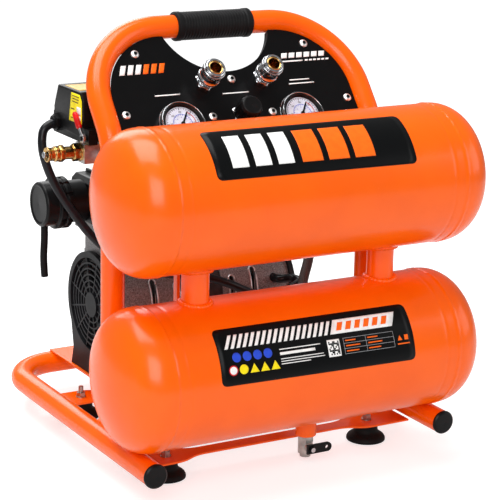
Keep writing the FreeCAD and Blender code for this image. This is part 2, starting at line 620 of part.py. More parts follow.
def cylinder_head():
    """Black cover with a chamfered rim and ribs along its top."""
    x0, x1, y0, y1 = CYL_X - 38, CYL_X + 42, PUMP_Y - 28, PUMP_Y + 28
    head = block(x0, x1, y0, y1, 203.3, 246)
    upright = [e for e in head.Edges if abs(e.tangentAt(e.FirstParameter).z) > 0.9]
    top = [e for e in head.Edges if e.CenterOfMass.z > 245]
    head = head.makeChamfer(5.0, upright + top)
    ribs = [block(x0 + 10 + 9 * k, x0 + 13 + 9 * k, y0 + 9, y1 - 9, 245, 250) for k in range(7)]
    plenum = block(x0 + 8, x1 - 8, y0 + 8, y1 - 8, 203.3, 232)
    return join([head] + ribs).cut(plenum)


def intake_filter():
    """Turned plastic canister on the left cylinder head."""
    start = -(CYL_X + 42)
    profile = [(8, 0), (20.5, 0), (20.5, 17), (25, 18), (25, 31), (21.5, 32),
               (21.5, 44), (19.5, 45.5), (8, 45.5)]
    shell = lathe(profile, (start, PUMP_Y, FILTER_Z), (-1, 0, 0))
    lid = rod(8, (start, PUMP_Y, FILTER_Z), (start - 45.5, PUMP_Y, FILTER_Z))
    hollow = rod(17, (start - 3, PUMP_Y, FILTER_Z), (start - 42.5, PUMP_Y, FILTER_Z))
    return join([shell, lid]).cut(hollow)


def pump():
    right = crankcase()
    entry = rod(LEAD_R + 0.3, LEAD_END, (LEAD_END[0], LEAD_END[1] - 20, LEAD_END[2]))
    winding = pipe(43, 29, (DRUM_IN + 0.3, PUMP_Y, PUMP_Z), (42, PUMP_Y, PUMP_Z))
    bearings = group(pipe(11, SHAFT_R + FIT, (sx * x, PUMP_Y, PUMP_Z), (sx * (x + 6), PUMP_Y, PUMP_Z))
                     for sx in (-1, 1) for x in (WALL_IN, WALL_OUT - 3))
    head = cylinder_head()
    capacitor = rod(16, (-17, PUMP_Y + 16, PUMP_Z + 64), (17, PUMP_Y + 16, PUMP_Z + 64))
    clip = block(-5, 5, PUMP_Y + 8, PUMP_Y + 24, PUMP_Z + DRUM_R - 6, PUMP_Z + 52)
    clip = clip.cut(shaft_rod(DRUM_R - 0.5, -30, 30)).cut(capacitor)
    stator = pipe(DRUM_R - 0.5, 28, (-DRUM_IN + 0.2, PUMP_Y, PUMP_Z), (DRUM_IN - 0.2, PUMP_Y, PUMP_Z))
    rotor = pipe(27.5, SHAFT_R, (-DRUM_IN, PUMP_Y, PUMP_Z), (DRUM_IN, PUMP_Y, PUMP_Z))
    cross = pipe(5, 3.5, (-(CYL_X - 38), PUMP_Y, 232), (CYL_X - 38, PUMP_Y, 232))
    return {"crankcases": group([mirrored(right), right.cut(entry)]),
            "motor_stator": group([stator, both_sides(winding)]),
            "crank_bearings": bearings,
            "crankshaft": group([crankshaft(), rotor]),
            "cooling_fans": fan(),
            "fan_shrouds": shroud(),
            "pump_bolts": pump_bolts(),
            "left_piston": piston(-1),
            "right_piston": piston(1),
            "cylinders": both_sides(cylinder()),
            "cylinder_heads": group([head, mirrored(head)]),
            "head_link_pipe": cross,
            "intake_filter": intake_filter(),
            "capacitor": join([capacitor, clip])}


# ---------------------------------------------------------------- side fittings
def cover_block(inset):
    """Switch cover: upright up to its shoulder, then drawn in at the back and front."""
    x0, x1, y0, y1, z0, z1 = SWITCH
    front, back, top = y0 + inset, y1 - inset, z1 - inset
    outline = [(front, z0 + 20), (back, z0 + 20), (back, z0 + 25), (back - 9.5, top), (front + 5.5, top),
               (front, top - 8)]
    return prism([(x0 + inset, y, z) for y, z in outline], x1 - x0 - 2 * inset, (1, 0, 0))


def pressure_switch():
    x0, x1, y0, y1, z0, z1 = SWITCH
    seam = z0 + 20
    base = block(x0, x1, y0, y1, z0, seam)
    ear = block(x0, x0 + 9, LEVER_Y - 6, y0, z0, z0 + 14)
    pin = rod(2.0, (x0, LEVER_Y, LEVER_Z), (x0 - 6.0, LEVER_Y, LEVER_Z))
    socket = rod(LEAD_R + 0.3, (x0, LEAD_Y, LEAD_Z), (x0 + 8, LEAD_Y, LEAD_Z))
    cover = cover_block(0)
    cover = cover.makeFillet(2.0, [e for e in cover.Edges if e.CenterOfMass.z > seam + 0.1])
    cover = cover.cut(cover_block(2.5))
    lever_tip = (0, 16, 18.5)
    length = math.hypot(lever_tip[1], lever_tip[2])
    direction = V(0, lever_tip[1] / length, lever_tip[2] / length)
    hub = V(x0 - 3.0, LEVER_Y, LEVER_Z)
    start, grip = hub + direction * 4, hub + direction * 11
    lever = join([rod(1.4, start - direction * 1.5, grip + direction),
                  rod(2.6, grip, grip + direction * 16),
                  pipe(4.2, 2.0 + FIT, hub - X * 1.6, hub + X * 1.6)])
    gland = join([rod(6.2, (x0 - 5, LEAD_Y, LEAD_Z), (x0, LEAD_Y, LEAD_Z)),
                  hexagon(15, (x0 - 3, LEAD_Y, LEAD_Z), (x0, LEAD_Y, LEAD_Z))])
    gland = gland.cut(rod(LEAD_R + 0.3, (x0 - 6, LEAD_Y, LEAD_Z), (x0, LEAD_Y, LEAD_Z)))
    spare = join([rod(6.2, (x0 + 20, y1, LEAD_Z), (x0 + 20, y1 + 5, LEAD_Z)),
                  hexagon(15, (x0 + 20, y1, LEAD_Z), (x0 + 20, y1 + 3, LEAD_Z))])
    return {"switch_base": join([base, ear, pin]).cut(socket),
            "switch_cover": cover,
            "switch_lever": lever,
            "switch_glands": group([gland, spare])}


def manifold():
    """Cross block under the switch, its tank pipe and the valve's adapter."""
    body = block(-140, -104, VALVE_Y - 10, VALVE_Y + 10, VALVE_Z - 10, VALVE_Z + 8)
    neck = hexagon(16, (-131, VALVE_Y, VALVE_Z + 8), (-131, VALVE_Y, SWITCH[4]))
    supply = rod(8, (SUPPLY_X, 58, SUPPLY_Z), (SUPPLY_X, VALVE_Y - 10, SUPPLY_Z)).cut(tank_solid(UPPER_Z))
    supply = supply.cut(rod(4, (SUPPLY_X, 50, SUPPLY_Z), (SUPPLY_X, VALVE_Y - 10, SUPPLY_Z)))
    return join([body, neck, supply])


def safety_valve():
    """Brass body with a hollow nose; the pull pin slides out through it."""
    at, out = (-140, VALVE_Y, VALVE_Z), (-1, 0, 0)
    hexes = [hexagon(15, (-142, VALVE_Y, VALVE_Z), (-148, VALVE_Y, VALVE_Z)),
             hexagon(14, (-157, VALVE_Y, VALVE_Z), (-163, VALVE_Y, VALVE_Z))]
    turned = lathe([(0, 0), (8.5, 0), (8.5, 1.6), (6, 2), (6, 17), (6.2, 23), (7, 25), (6, 26), (6, 31),
                    (6.8, 32), (6.8, 34), (3.2, 34), (3.2, 14), (0, 14)], at, out)
    bore = rod(3.2, (-154, VALVE_Y, VALVE_Z), (-175, VALVE_Y, VALVE_Z))
    pin = rod(1.4, (-156, VALVE_Y, VALVE_Z), (-175.5, VALVE_Y, VALVE_Z))
    head = rod(3.0, (-155, VALVE_Y, VALVE_Z), (-158, VALVE_Y, VALVE_Z))
    knob = lathe([(0, 0), (2.4, 0), (3.0, 0.8), (3.0, 2.0), (2.2, 2.8), (0, 2.8)],
                 (-174.6, VALVE_Y, VALVE_Z), out)
    return {"safety_valve_body": join([turned] + hexes).cut(bore),
            "safety_valve_pin": join([pin, head, knob])}


def drain_valve():
    """Quarter-turn ball valve under the lower tank, with its lever in front."""
    x, z = DRAIN_X, BALL_Z
    body = join([hexagon(14, (x, 0, 24), (x, 0, 29)), rod(7, (x, 0, 11.5), (x, 0, 25)),
                 rod(5.2, (x, 0, 8), (x, 0, 12)), rod(4.5, (x, 0, z), (x, -9.5, z))])
    waterway = rod(2.6, (x, 0, 5), (x, 0, 32))
    body = body.cut(group([Part.makeSphere(BALL_R + FIT, V(x, 0, z)), waterway,
                           rod(2.2 + FIT, (x, 0, z), (x, -10, z))]))
    ball = Part.makeSphere(BALL_R, V(x, 0, z)).cut(rod(2.6, (x - 6, 0, z), (x + 6, 0, z)))
    stem = rod(2.2, (x, -4.2, z), (x, -14.6, z))
    lever = block(x - 5, x + 17, -12.4, -10.0, z - 4.5, z + 4.5)
    lever = join([lever, rod(4.5, (x + 17, -12.4, z), (x + 17, -10.0, z))])
    lever = lever.cut(group([rod(2.2, (x, -13, z), (x, -9, z)),
                             rod(1.8, (x + 16.5, -13, z), (x + 16.5, -9, z))]))
    nut = hexagon(6, (x, -14.2, z), (x, -12.4, z)).cut(rod(2.2, (x, -15, z), (x, -12, z)))
    return {"drain_valve_body": body,
            "drain_valve_ball": join([ball, stem]),
            "drain_valve_lever": group([lever, nut])}


LEAD_ROUTE = [(SWITCH[0] + 6, LEAD_Y, LEAD_Z), (-161, LEAD_Y, LEAD_Z), (-166, 180, 287), (-161, 177, 264),
              (-150, 176, 241), (-134, 174, 217), (-117, 168, 193), (-92, 158, 171), (-60, 149, 158),
              (-24, 146, 152), (6, 145, 145), (41, 144, 128), (62, 141, 117), (79, 134, 128), (96, 134, 134),
              (95, 150, 135), (79, LEAD_END[1] - 13, 134), LEAD_END]
FILTER_HOSE_ROUTE = [(-151, PUMP_Y, 201.2), (-151, PUMP_Y, 187), (-152.5, PUMP_Y, 168), (-151, PUMP_Y, 151.2)]
DISCHARGE_ROUTE = [(CYL_X + 10, PUMP_Y - 28.3, 226), (CYL_X + 10, PUMP_Y - 42, 226), (101, 147, 206),
                   (106, 135, 181), (97, 123, 160), (81, 109, 142), (INLET[0], 95, INLET[2]),
                   (INLET[0], INLET[1] + 0.3, INLET[2])]


def hoses():
    check = hexagon(16, (INLET[0], 66, INLET[2]), INLET)
    check = join([check, rod(6, (INLET[0], 56, INLET[2]), (INLET[0], 67, INLET[2]))]).cut(tank_solid(LOWER_Z))
    lead = cable("motor_lead", LEAD_ROUTE, LEAD_R)
    stub = cable("filter_hose", FILTER_HOSE_ROUTE, HOSE_R)
    braid = cable("discharge_hose", DISCHARGE_ROUTE, BRAID_R)
    return {"motor_lead": lead, "filter_hose": stub, "discharge_hose": braid, "check_valve": check}


# ---------------------------------------------------------------- export
def export(parts):
    os.makedirs("parts", exist_ok=True)
    for name, shape in parts.items():
        shape.translate(V(0, -ORIGIN_Y, 0))
        solids = shape.Solids
        if not solids or not all(s.isValid() and s.isClosed() for s in solids):
            raise ValueError(name + " is not a valid closed solid")
        shape = solids[0] if len(solids) == 1 else Part.makeCompound(solids)
        shape.exportStep("parts/" + name + ".step")
    print(len(parts), "nodes, origin at Y", ORIGIN_Y)


def main():
    parts = {}
    for section in (tanks, frame, panel, pump, pressure_switch, safety_valve, drain_valve, hoses):
        parts.update(section())
    parts["switch_manifold"] = manifold()
    export(parts)


main()
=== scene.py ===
"""Looks of a portable twin-tank air compressor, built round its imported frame.

Drawing sizes below are millimetres from the plane of the tank axes (y = 0) and
the floor (z = 0); place() turns them into the frame's metres.  +Z is up, the
operator stands on the -Y side and the tanks lie along X.
"""

import math

import bmesh
import bpy
import numpy as np
from mathutils import Matrix, Vector


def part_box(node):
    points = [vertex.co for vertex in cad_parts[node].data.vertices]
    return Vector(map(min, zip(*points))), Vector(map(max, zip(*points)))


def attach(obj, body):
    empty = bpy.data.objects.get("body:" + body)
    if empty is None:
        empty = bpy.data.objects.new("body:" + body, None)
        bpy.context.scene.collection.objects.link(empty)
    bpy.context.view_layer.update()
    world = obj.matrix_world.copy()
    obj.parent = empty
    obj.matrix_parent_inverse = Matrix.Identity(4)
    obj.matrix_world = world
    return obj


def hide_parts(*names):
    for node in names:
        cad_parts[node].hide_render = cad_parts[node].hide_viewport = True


bl_info = {
    "name": "Air compressor looks",
    "version": (1, 0, 0),
    "blender": (4, 5, 0),
    "location": "View3D > Sidebar > Compressor",
    "description": "Paint, labels, hoses and fine shapes of a twin-tank air compressor",
    "category": "Object",
}

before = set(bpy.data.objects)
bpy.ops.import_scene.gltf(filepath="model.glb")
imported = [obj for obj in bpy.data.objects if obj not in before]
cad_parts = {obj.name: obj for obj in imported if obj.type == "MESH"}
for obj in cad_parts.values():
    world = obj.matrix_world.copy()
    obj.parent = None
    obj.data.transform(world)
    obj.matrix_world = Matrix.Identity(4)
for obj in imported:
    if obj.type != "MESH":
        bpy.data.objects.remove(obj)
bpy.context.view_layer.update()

MM = 0.001
TANK_LOW, TANK_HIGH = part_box("upper_tank_shell")
TANK_Y = (TANK_LOW.y + TANK_HIGH.y) / 2
TANK_RADIUS = (TANK_HIGH.y - TANK_LOW.y) / 2 / MM
UPPER_Z = (TANK_LOW.z + TANK_HIGH.z) / 2 / MM
LOWER_Z = (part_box("lower_tank_shell")[0].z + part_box("lower_tank_shell")[1].z) / 2 / MM
SHELL_HALF = TANK_HIGH.x / MM
TANK_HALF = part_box("upper_tank_heads")[1].x / MM
LEAN = math.radians(38.8)
PANEL_UP = np.array((0, math.sin(LEAN), math.cos(LEAN)))
PANEL_OUT = np.array((0, -math.cos(LEAN), math.sin(LEAN)))
PANEL_AT = np.array((0, 102.9, 333.8))
GAUGES_X, GAUGE_S = (-67.0, 61.0), -25.0
HOOP_TOP, HOOP_BACK = 80.8, 4.0
COUPLER_X, COUPLER_S = 31.0, 16.0
KNOB_S = -20.0
SCREWS = ((-91, 52), (91, 52), (-118.5, -10), (118.5, -10), (0, 19), (-32, -18.5), (32, -18.5))
LINK_X = 98.0
GRIP_HALF = 40.5
TUBE_R, TUBE_Z = 11.0, 31.0
BASE_X, BASE_FRONT, BASE_BACK, BASE_BEND = 154.0, -34.5, 297.0, 50.0
HOOP_X, HOOP_Y, HOOP_FOOT_BEND, HOOP_BEND = 138.0, 84.0, 50.0, 77.5
FEET = [(x, y, 0) for x in (-110, 110) for y in (30, 213)]
DRAIN_X = 22.0
SKIRT, KNUCKLE = 4.7, 30.0
PUMP_Y, PUMP_Z = 207.0, 116.0
DRUM_R, SLOT_HALF = 50.0, 3.3
SLOTS = ((31.0, -20.0, 22.0), (56.0, -20.0, 27.5))
HEAD_PIPE_Z = 232.0
SWITCH_SIDE, SWITCH_TOP = -148.15, 343.12
LEAD_R, HOSE_R = 4.2, 5.0
DIAL_OUT = 3.72
UP = (0, 0, 1)
FRAME_BODY = "compressor"
TURN = 2 * math.pi


# ------------------------------------------------------------ settings
class CompressorSizes(bpy.types.PropertyGroup):
    weld_height: bpy.props.FloatProperty(
        name="Weld height", description="Height of the ring welds above the tank, in millimetres",
        default=0.75, min=0.0, max=2.0)
    grip_pitch: bpy.props.FloatProperty(
        name="Grip rib pitch", description="Distance between ribs of the handle grip, in millimetres",
        default=3.0, min=1.5, max=6.0)
    edge_share: bpy.props.FloatProperty(
        name="Edge rounding", description="Share of the usual rounding of machined and moulded edges",
        default=1.0, min=0.1, max=1.5, subtype="FACTOR")
    lens: bpy.props.FloatProperty(
        name="Lens", description="Focal length of the camera", default=134.5, min=20, max=300, unit="CAMERA")
    camera_place: bpy.props.FloatVectorProperty(
        name="Camera place", description="Where the camera stands", size=3, subtype="XYZ",
        unit="LENGTH", default=(-0.8574, -1.5154, 0.6414))
    camera_turn: bpy.props.FloatVectorProperty(
        name="Camera turn", description="Azimuth, elevation and roll of the camera, in degrees",
        size=3, default=(-30.3, 14.8, 1.3))


class CompressorColours(bpy.types.PropertyGroup):
    paint: bpy.props.StringProperty(
        name="Paint", description="sRGB hex colour of the tanks and tube frame", default="FF6200")
    panel: bpy.props.StringProperty(
        name="Panel", description="sRGB hex colour of the control panel", default="09090A")
    casting: bpy.props.StringProperty(
        name="Castings", description="sRGB hex colour of the pump castings", default="7C7878")
    brass: bpy.props.StringProperty(
        name="Brass", description="sRGB hex colour of the brass fittings", default="CDA566")


def sizes():
    return bpy.context.scene.compressor_sizes


def colours():
    return bpy.context.scene.compressor_colours


def to_linear(code, alpha=1.0):
    """sRGB hex to linear values, by the standard piecewise curve."""
    value = np.array([int(code[i:i + 2], 16) for i in (0, 2, 4)]) / 255
    value = np.where(value <= 0.04045, value / 12.92, ((value + 0.055) / 1.055) ** 2.4)
    return (*value.tolist(), alpha)


# ------------------------------------------------------------ places
def place(points):
    """Drawing millimetres to the frame's metres."""
    return np.asarray(points, float) * MM + np.array((0, TANK_Y, 0))


def on_panel(points):
    """(x, distance up the panel, distance out of it) to drawing millimetres."""
    p = np.asarray(points, float)
    return p[..., :1] * (1, 0, 0) + p[..., 1:2] * PANEL_UP + p[..., 2:3] * PANEL_OUT + PANEL_AT


# ------------------------------------------------------------ surfaces
def surface(points, wrap_rows=False, wrap_columns=True, ends=(False, False)):
    """Quads over a grid of points; a closed end is a fan about the middle of its row."""
    rows, columns = points.shape[:2]
    index = np.arange(rows * columns).reshape(rows, columns)
    if wrap_columns:
        index = np.concatenate([index, index[:, :1]], 1)
    if wrap_rows:
        index = np.concatenate([index, index[:1]], 0)
    corners = (index[:-1, :-1], index[1:, :-1], index[1:, 1:], index[:-1, 1:])
    faces = np.stack(corners, -1).reshape(-1, 4).tolist()
    verts = points.reshape(-1, 3)
    for closed, row in zip(ends, (0, -1)):
        if closed:
            fan = np.full(index.shape[1] - 1, len(verts))
            faces += np.stack([fan, index[row][:-1], index[row][1:]], 1).tolist()
            verts = np.vstack([verts, points[row].mean(0)])
    return verts, faces


def merged(shapes):
    """Several (verts, faces) as one."""
    verts, faces, count = [], [], 0
    for v, f in shapes:
        verts.append(v)
        faces += [[i + count for i in face] for face in f]
        count += len(v)
    return np.vstack(verts), faces


def rounded(profile, radius, steps=3):
    """Each corner of a closed outline swapped for a quadratic curve that leaves it by radius."""
    p = np.asarray(profile, float)
    before, after = np.roll(p, 1, 0) - p, np.roll(p, -1, 0) - p
    left, right = (np.linalg.norm(d, axis=1, keepdims=True) for d in (before, after))
    reach = np.minimum(radius, 0.45 * np.minimum(left, right))
    start, end = p + before / left * reach, p + after / right * reach
    t = np.linspace(0, 1, steps + 1)[None, :, None]
    curve = (1 - t) ** 2 * start[:, None] + 2 * t * (1 - t) * p[:, None] + t ** 2 * end[:, None]
    return curve.reshape(-1, p.shape[1])


def axes_of(axis):
    w = np.asarray(axis, float)
    w = w / np.linalg.norm(w)
    side = np.array((0, 0, 1.0)) if abs(w[2]) < 0.9 else np.array((1.0, 0, 0))
    u = np.cross(side, w)
    u /= np.linalg.norm(u)
    return u, np.cross(w, u), w


def lathe(profile, origin, axis, around=64, wave=None, loop=True):
    """Points (r, h) of a profile turned about an axis: r(cos a, sin a) plus h along it.

    wave(r, h, a) may return a change to the radius, such as flutes or weld ripples."""
    p = np.asarray(profile, float)
    a = np.linspace(0, TURN, around, endpoint=False)
    r, h = p[:, :1], p[:, 1:]
    if wave is not None:
        r = r + wave(r, h, a[None])
    u, v, w = axes_of(axis)
    ring = np.cos(a)[:, None] * u + np.sin(a)[:, None] * v
    points = np.asarray(origin, float) + (r + 0 * a)[..., None] * ring + h[..., None] * w
    return surface(points, wrap_rows=loop)


def path_frames(path, towards, closed=False):
    """Unit side vectors across a path, square to its tangent and to a fixed direction."""
    if closed:
        tangent = np.roll(path, -1, 0) - np.roll(path, 1, 0)
    else:
        tangent = np.gradient(path, axis=0)
    tangent /= np.linalg.norm(tangent, axis=1, keepdims=True)
    side = np.cross(tangent, np.asarray(towards, float))
    side /= np.linalg.norm(side, axis=1, keepdims=True)
    return side, np.cross(side, tangent)


def swept(path, radius, towards, around=32, closed=False, ripple=0.0, waves=1):
    """A circle carried along a path; its radius may swell and sink along the way, as a weld bead's does."""
    side, other = path_frames(path, towards, closed)
    a = np.linspace(0, TURN, around, endpoint=False)
    t = np.linspace(0, TURN, len(path), endpoint=False)
    r = radius * (1 + ripple * np.sin(waves * t))[:, None, None]
    ring = np.cos(a)[None, :, None] * side[:, None] + np.sin(a)[None, :, None] * other[:, None]
    ends = (False, False) if closed else (True, True)
    return surface(path[:, None] + r * ring, wrap_rows=closed, ends=ends)


def bent_line(points, radii, step=3.0):
    """Straight runs joined by tangent arcs, as even points about a step apart."""
    points = [np.asarray(p, float) for p in points]
    line, last = [], points[0]
    for before, corner, after, radius in zip(points, points[1:], points[2:], radii):
        u, w = before - corner, after - corner
        u, w = u / np.linalg.norm(u), w / np.linalg.norm(w)
        half = math.acos(np.clip(u @ w, -1, 1)) / 2
        middle = corner + (u + w) / np.linalg.norm(u + w) * radius / math.sin(half)
        enter, leave = corner + u * radius / math.tan(half), corner + w * radius / math.tan(half)
        run = np.linalg.norm(enter - last)
        along = np.linspace(0, 1, max(2, int(run / step)), endpoint=False)[:, None]
        line.append(last + (enter - last) * along)
        sweep = math.pi - 2 * half
        t = np.linspace(0, 1, max(8, int(sweep * radius / step)), endpoint=False)[:, None]
        a, b = enter - middle, leave - middle
        line.append(middle + (np.sin((1 - t) * sweep) * a + np.sin(t * sweep) * b) / math.sin(sweep))
        last = leave
    run = np.linalg.norm(points[-1] - last)
    line.append(last + (points[-1] - last) * np.linspace(0, 1, max(2, int(run / step)))[:, None])
    return np.vstack(line)


def bar(start, end, radius, around=24, edge=0.4):
    """Round bar with softened ends."""
    start, end = np.asarray(start, float), np.asarray(end, float)
    length = np.linalg.norm(end - start)
    outline = [(radius - edge, 0), (radius, edge), (radius, length - edge), (radius - edge, length)]
    points = np.array([(0, 0)] + outline + [(0, length)], float)
    return lathe(points, start, end - start, around, loop=False)


def hexagonal(flats):
    """Change of radius that trims a turned shape to six flats, each at flats / 2 from the axis."""
    def trim(r, h, a):
        wall = flats / 2 / np.cos((a + math.pi / 6) % (math.pi / 3) - math.pi / 6)
        return np.minimum(wall, r) - r

    return trim


def hexagon(flats, start, end, chamfer=0.6):
    """Hexagonal bar whose corners are chamfered by a cone at both ends."""
    start, end = np.asarray(start, float), np.asarray(end, float)
    length = np.linalg.norm(end - start)
    radius = flats / math.sqrt(3)
    profile = [(0, 0), (flats / 2 - 0.2, 0), (radius, chamfer), (radius, length - chamfer),
               (flats / 2 - 0.2, length), (0, length)]
    return lathe(profile, start, end - start, 72, hexagonal(flats), loop=False)


def slab(low, high, radius, front=0.0, back=0.0):
    """Box with rounded upright corners and rim: a rounded rectangle carried up its height.

    Its top may be drawn in from the front (low y) and the back (high y)."""
    low, high = np.asarray(low, float), np.asarray(high, float)
    middle, half = (low + high) / 2, (high - low) / 2
    corners = np.array([(1, 1), (-1, 1), (-1, -1), (1, -1)], float)
    edge = min(radius, half[2] * 0.8)
    levels = [(edge, 0), (edge * 0.3, edge * 0.3), (0, edge), (0, 2 * half[2] - edge),
              (edge * 0.3, 2 * half[2] - edge * 0.3), (edge, 2 * half[2])]
    rows = []
    for inset, height in levels:
        lean = height / (2 * half[2])
        size = half[:2] - inset - np.array((0, (front + back) / 2 * lean))
        ring = rounded(corners * size, radius, 5) + (0, (front - back) / 2 * lean)
        rows.append(np.column_stack([ring, np.full(len(ring), height)]))
    points = np.array(rows) + np.append(middle[:2], low[2])
    return surface(points, ends=(True, True))


def film(outline, mapping, rows=8, columns=96):
    """Thin printed shape: rings shrink from its outline to its middle, then mapping bends it on."""
    p = np.asarray(outline, float)
    closed = np.vstack([p, p[:1]])
    walk = np.append(0, np.cumsum(np.linalg.norm(np.diff(closed, axis=0), axis=1)))
    t = np.union1d(walk[:-1], np.linspace(0, walk[-1], columns, endpoint=False))
    rim = np.column_stack([np.interp(t, walk, closed[:, k]) for k in (0, 1)])
    middle = rim.mean(0)
    share = np.linspace(1, 0, rows, endpoint=False)[:, None, None]
    grid = middle + share * (rim - middle)
    return surface(mapping(grid), ends=(False, True))


def circle(x, y, radius, count=28):
    a = np.linspace(0, TURN, count, endpoint=False)
    return np.column_stack([x + radius * np.cos(a), y + radius * np.sin(a)])


# ------------------------------------------------------------ pieces
def linked(name, data):
    obj = bpy.data.objects.new(name, data)
    bpy.context.scene.collection.objects.link(obj)
    return obj


def piece(name, shape, finish, body=FRAME_BODY, replaces=(), sharp=38.0, film_mm=0.0):
    """Makes a mesh object from drawing millimetres, rides it on its body and names its slot."""
    verts, faces = shape
    mesh = bpy.data.meshes.new(name)
    mesh.from_pydata(place(verts).tolist(), [], faces)
    shell = bmesh.new()
    shell.from_mesh(mesh)
    bmesh.ops.remove_doubles(shell, verts=shell.verts, dist=1e-7)
    bmesh.ops.recalc_face_normals(shell, faces=shell.faces)
    shell.to_mesh(mesh)
    shell.free()
    return finished(mesh, name, finish, body, replaces, sharp, film_mm)


def finished(mesh, name, finish, body, replaces, sharp, film_mm=0.0):
    """Gives a mesh its shading, material and object; a film is a surface thickened both ways."""
    mesh.polygons.foreach_set("use_smooth", np.ones(len(mesh.polygons), bool))
    mesh.set_sharp_from_angle(angle=math.radians(sharp))
    mesh.materials.clear()
    mesh.materials.append(FINISH[finish])
    obj = linked(name, mesh)
    if film_mm:
        thick = obj.modifiers.new("thickness", "SOLIDIFY")
        thick.thickness = film_mm * MM
        thick.offset = 0
    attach(obj, body)
    if replaces:
        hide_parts(*replaces)
    return obj


def refined(node, finish, body=FRAME_BODY, edge=0.4, edge_finish=None, sharp=32.0):
    """Copy of a machined or moulded node, merged, with its edges rounded and its curves shaded smooth."""
    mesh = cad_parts[node].data.copy()
    mesh.name = node
    shell = bmesh.new()
    shell.from_mesh(mesh)
    bmesh.ops.remove_doubles(shell, verts=shell.verts, dist=1e-6)
    bmesh.ops.dissolve_limit(shell, angle_limit=math.radians(0.6), verts=shell.verts, edges=shell.edges)
    shell.to_mesh(mesh)
    shell.free()
    obj = finished(mesh, node + "_finish", finish, body, (node,), sharp)
    if edge:
        if edge_finish is not None:
            mesh.materials.append(FINISH[edge_finish])
        round_off = obj.modifiers.new("edges", "BEVEL")
        round_off.width = edge * sizes().edge_share * MM
        round_off.segments = 2
        round_off.limit_method = "ANGLE"
        round_off.angle_limit = math.radians(sharp)
        round_off.harden_normals = True
        round_off.use_clamp_overlap = True
        if edge_finish is not None:
            round_off.material = 1
    return obj


def smooth_line(name, route, radius, ring=6):
    """Round tube, as a curve object, on the smooth spline whose control points are the route."""
    curve = bpy.data.curves.new(name, "CURVE")
    curve.dimensions = "3D"
    curve.resolution_u = 12
    curve.bevel_depth = radius * MM
    curve.bevel_resolution = ring
    curve.use_fill_caps = True
    line = curve.splines.new("NURBS")
    line.points.add(len(route) - 1)
    line.points.foreach_set("co", np.column_stack([place(route), np.ones(len(route))]).ravel())
    line.order_u = 3
    line.use_endpoint_u = True
    return linked(name, curve)


def smooth_cable(name, route, radius, finish, node):
    """Cable that replaces a node, made a mesh with the spline's own UV map."""
    holder = smooth_line(name + "_line", route, radius, 8)
    mesh = bpy.data.meshes.new_from_object(holder)
    bpy.data.objects.remove(holder)
    return finished(mesh, name, finish, FRAME_BODY, (node,), 50.0)


# ------------------------------------------------------------ materials
def add_node(tree, kind, settings=None, **inputs):
    """Adds a node, sets its settings, and sets or links its inputs by socket name or _index."""
    node = tree.nodes.new(kind)
    for key, value in (settings or {}).items():
        setattr(node, key, value)
    for key, value in inputs.items():
        socket = node.inputs[int(key[1:]) if key.startswith("_") else key.replace("_", " ")]
        if isinstance(value, bpy.types.NodeSocket):
            tree.links.new(value, socket)
        else:
            socket.default_value = value
    return node


def shifted(code, amount):
    """The same hex colour made lighter or darker by a share."""
    values = [min(255, max(0, round(int(code[i:i + 2], 16) * (1 + amount)))) for i in (0, 2, 4)]
    return "".join(f"{v:02X}" for v in values)


def skin(name, code, tone=None, gloss=None, relief=None, stretch=None, pattern=None, **sockets):
    """Principled material on Object coordinates, with a noise each for its colour, gloss and relief.

    tone is (grain mm, detail, share darker, share lighter, low, high), gloss is (grain mm,
    detail, least and most roughness) and relief is (grain mm, detail, height mm, strength).
    stretch draws the grain of gloss and relief out along an axis; pattern(tree) may stand in
    for the noise.  Other sockets of the shader are set by name."""
    material = bpy.data.materials.new(name)
    material.use_nodes = True
    tree = material.node_tree
    shader = tree.nodes["Principled BSDF"]
    where = add_node(tree, "ShaderNodeTexCoord").outputs["Object"]
    along = where
    if stretch is not None:
        along = add_node(tree, "ShaderNodeMapping", Vector=where, Scale=stretch).outputs["Vector"]
    made = pattern(tree) if pattern else None
    layers = []
    for vector, values in ((where, tone), (along, gloss), (along, relief)):
        layer = made
        if values and not made:
            noise = {"Vector": vector, "Scale": 1 / (values[0] * MM), "Detail": values[1]}
            layer = add_node(tree, "ShaderNodeTexNoise", **noise).outputs["Fac"]
        layers.append(layer)
    if tone:
        ramp = add_node(tree, "ShaderNodeValToRGB", Fac=layers[0])
        stops = zip(ramp.color_ramp.elements, (-tone[2], tone[3]), tone[4:] or (0.35, 0.65))
        for stop, shift, position in stops:
            stop.position = position
            stop.color = to_linear(shifted(code, shift))
        tree.links.new(ramp.outputs["Color"], shader.inputs["Base Color"])
    if gloss:
        spread = add_node(tree, "ShaderNodeMapRange", Value=layers[1], To_Min=gloss[2], To_Max=gloss[3])
        tree.links.new(spread.outputs["Result"], shader.inputs["Roughness"])
    if relief:
        lift = add_node(tree, "ShaderNodeBump", Height=layers[2], Distance=relief[2] * MM, Strength=relief[3])
        tree.links.new(lift.outputs["Normal"], shader.inputs["Normal"])
    for socket, value in sockets.items():
        shader.inputs[socket.replace("_", " ")].default_value = value
    return material


def powder_coat(name, code, rough=0.24, coat=0.05, shine=0.36):
    """Baked powder coat: even colour, a soft gloss and the faint ripple of orange peel, about 3 mm across."""
    return skin(name, code, (40, 3, 0.02, 0.02), (9, 3, rough - 0.05, rough + 0.06), (3.0, 1.5, 0.02, 0.6),
                Specular_IOR_Level=shine, Coat_Weight=coat, Coat_Roughness=0.1)


def moulded(name, code, rough=0.45, texture_mm=0.6, depth=0.03, coat=0.0, shine=0.14):
    """Moulded plastic or rubber: fine spark-eroded texture and small changes of gloss."""
    return skin(name, code, (15, 3, 0.15, 0.2), (texture_mm, 2, rough - 0.08, rough + 0.08),
                (texture_mm, 2, depth, 0.7), Specular_IOR_Level=shine, Coat_Weight=coat)


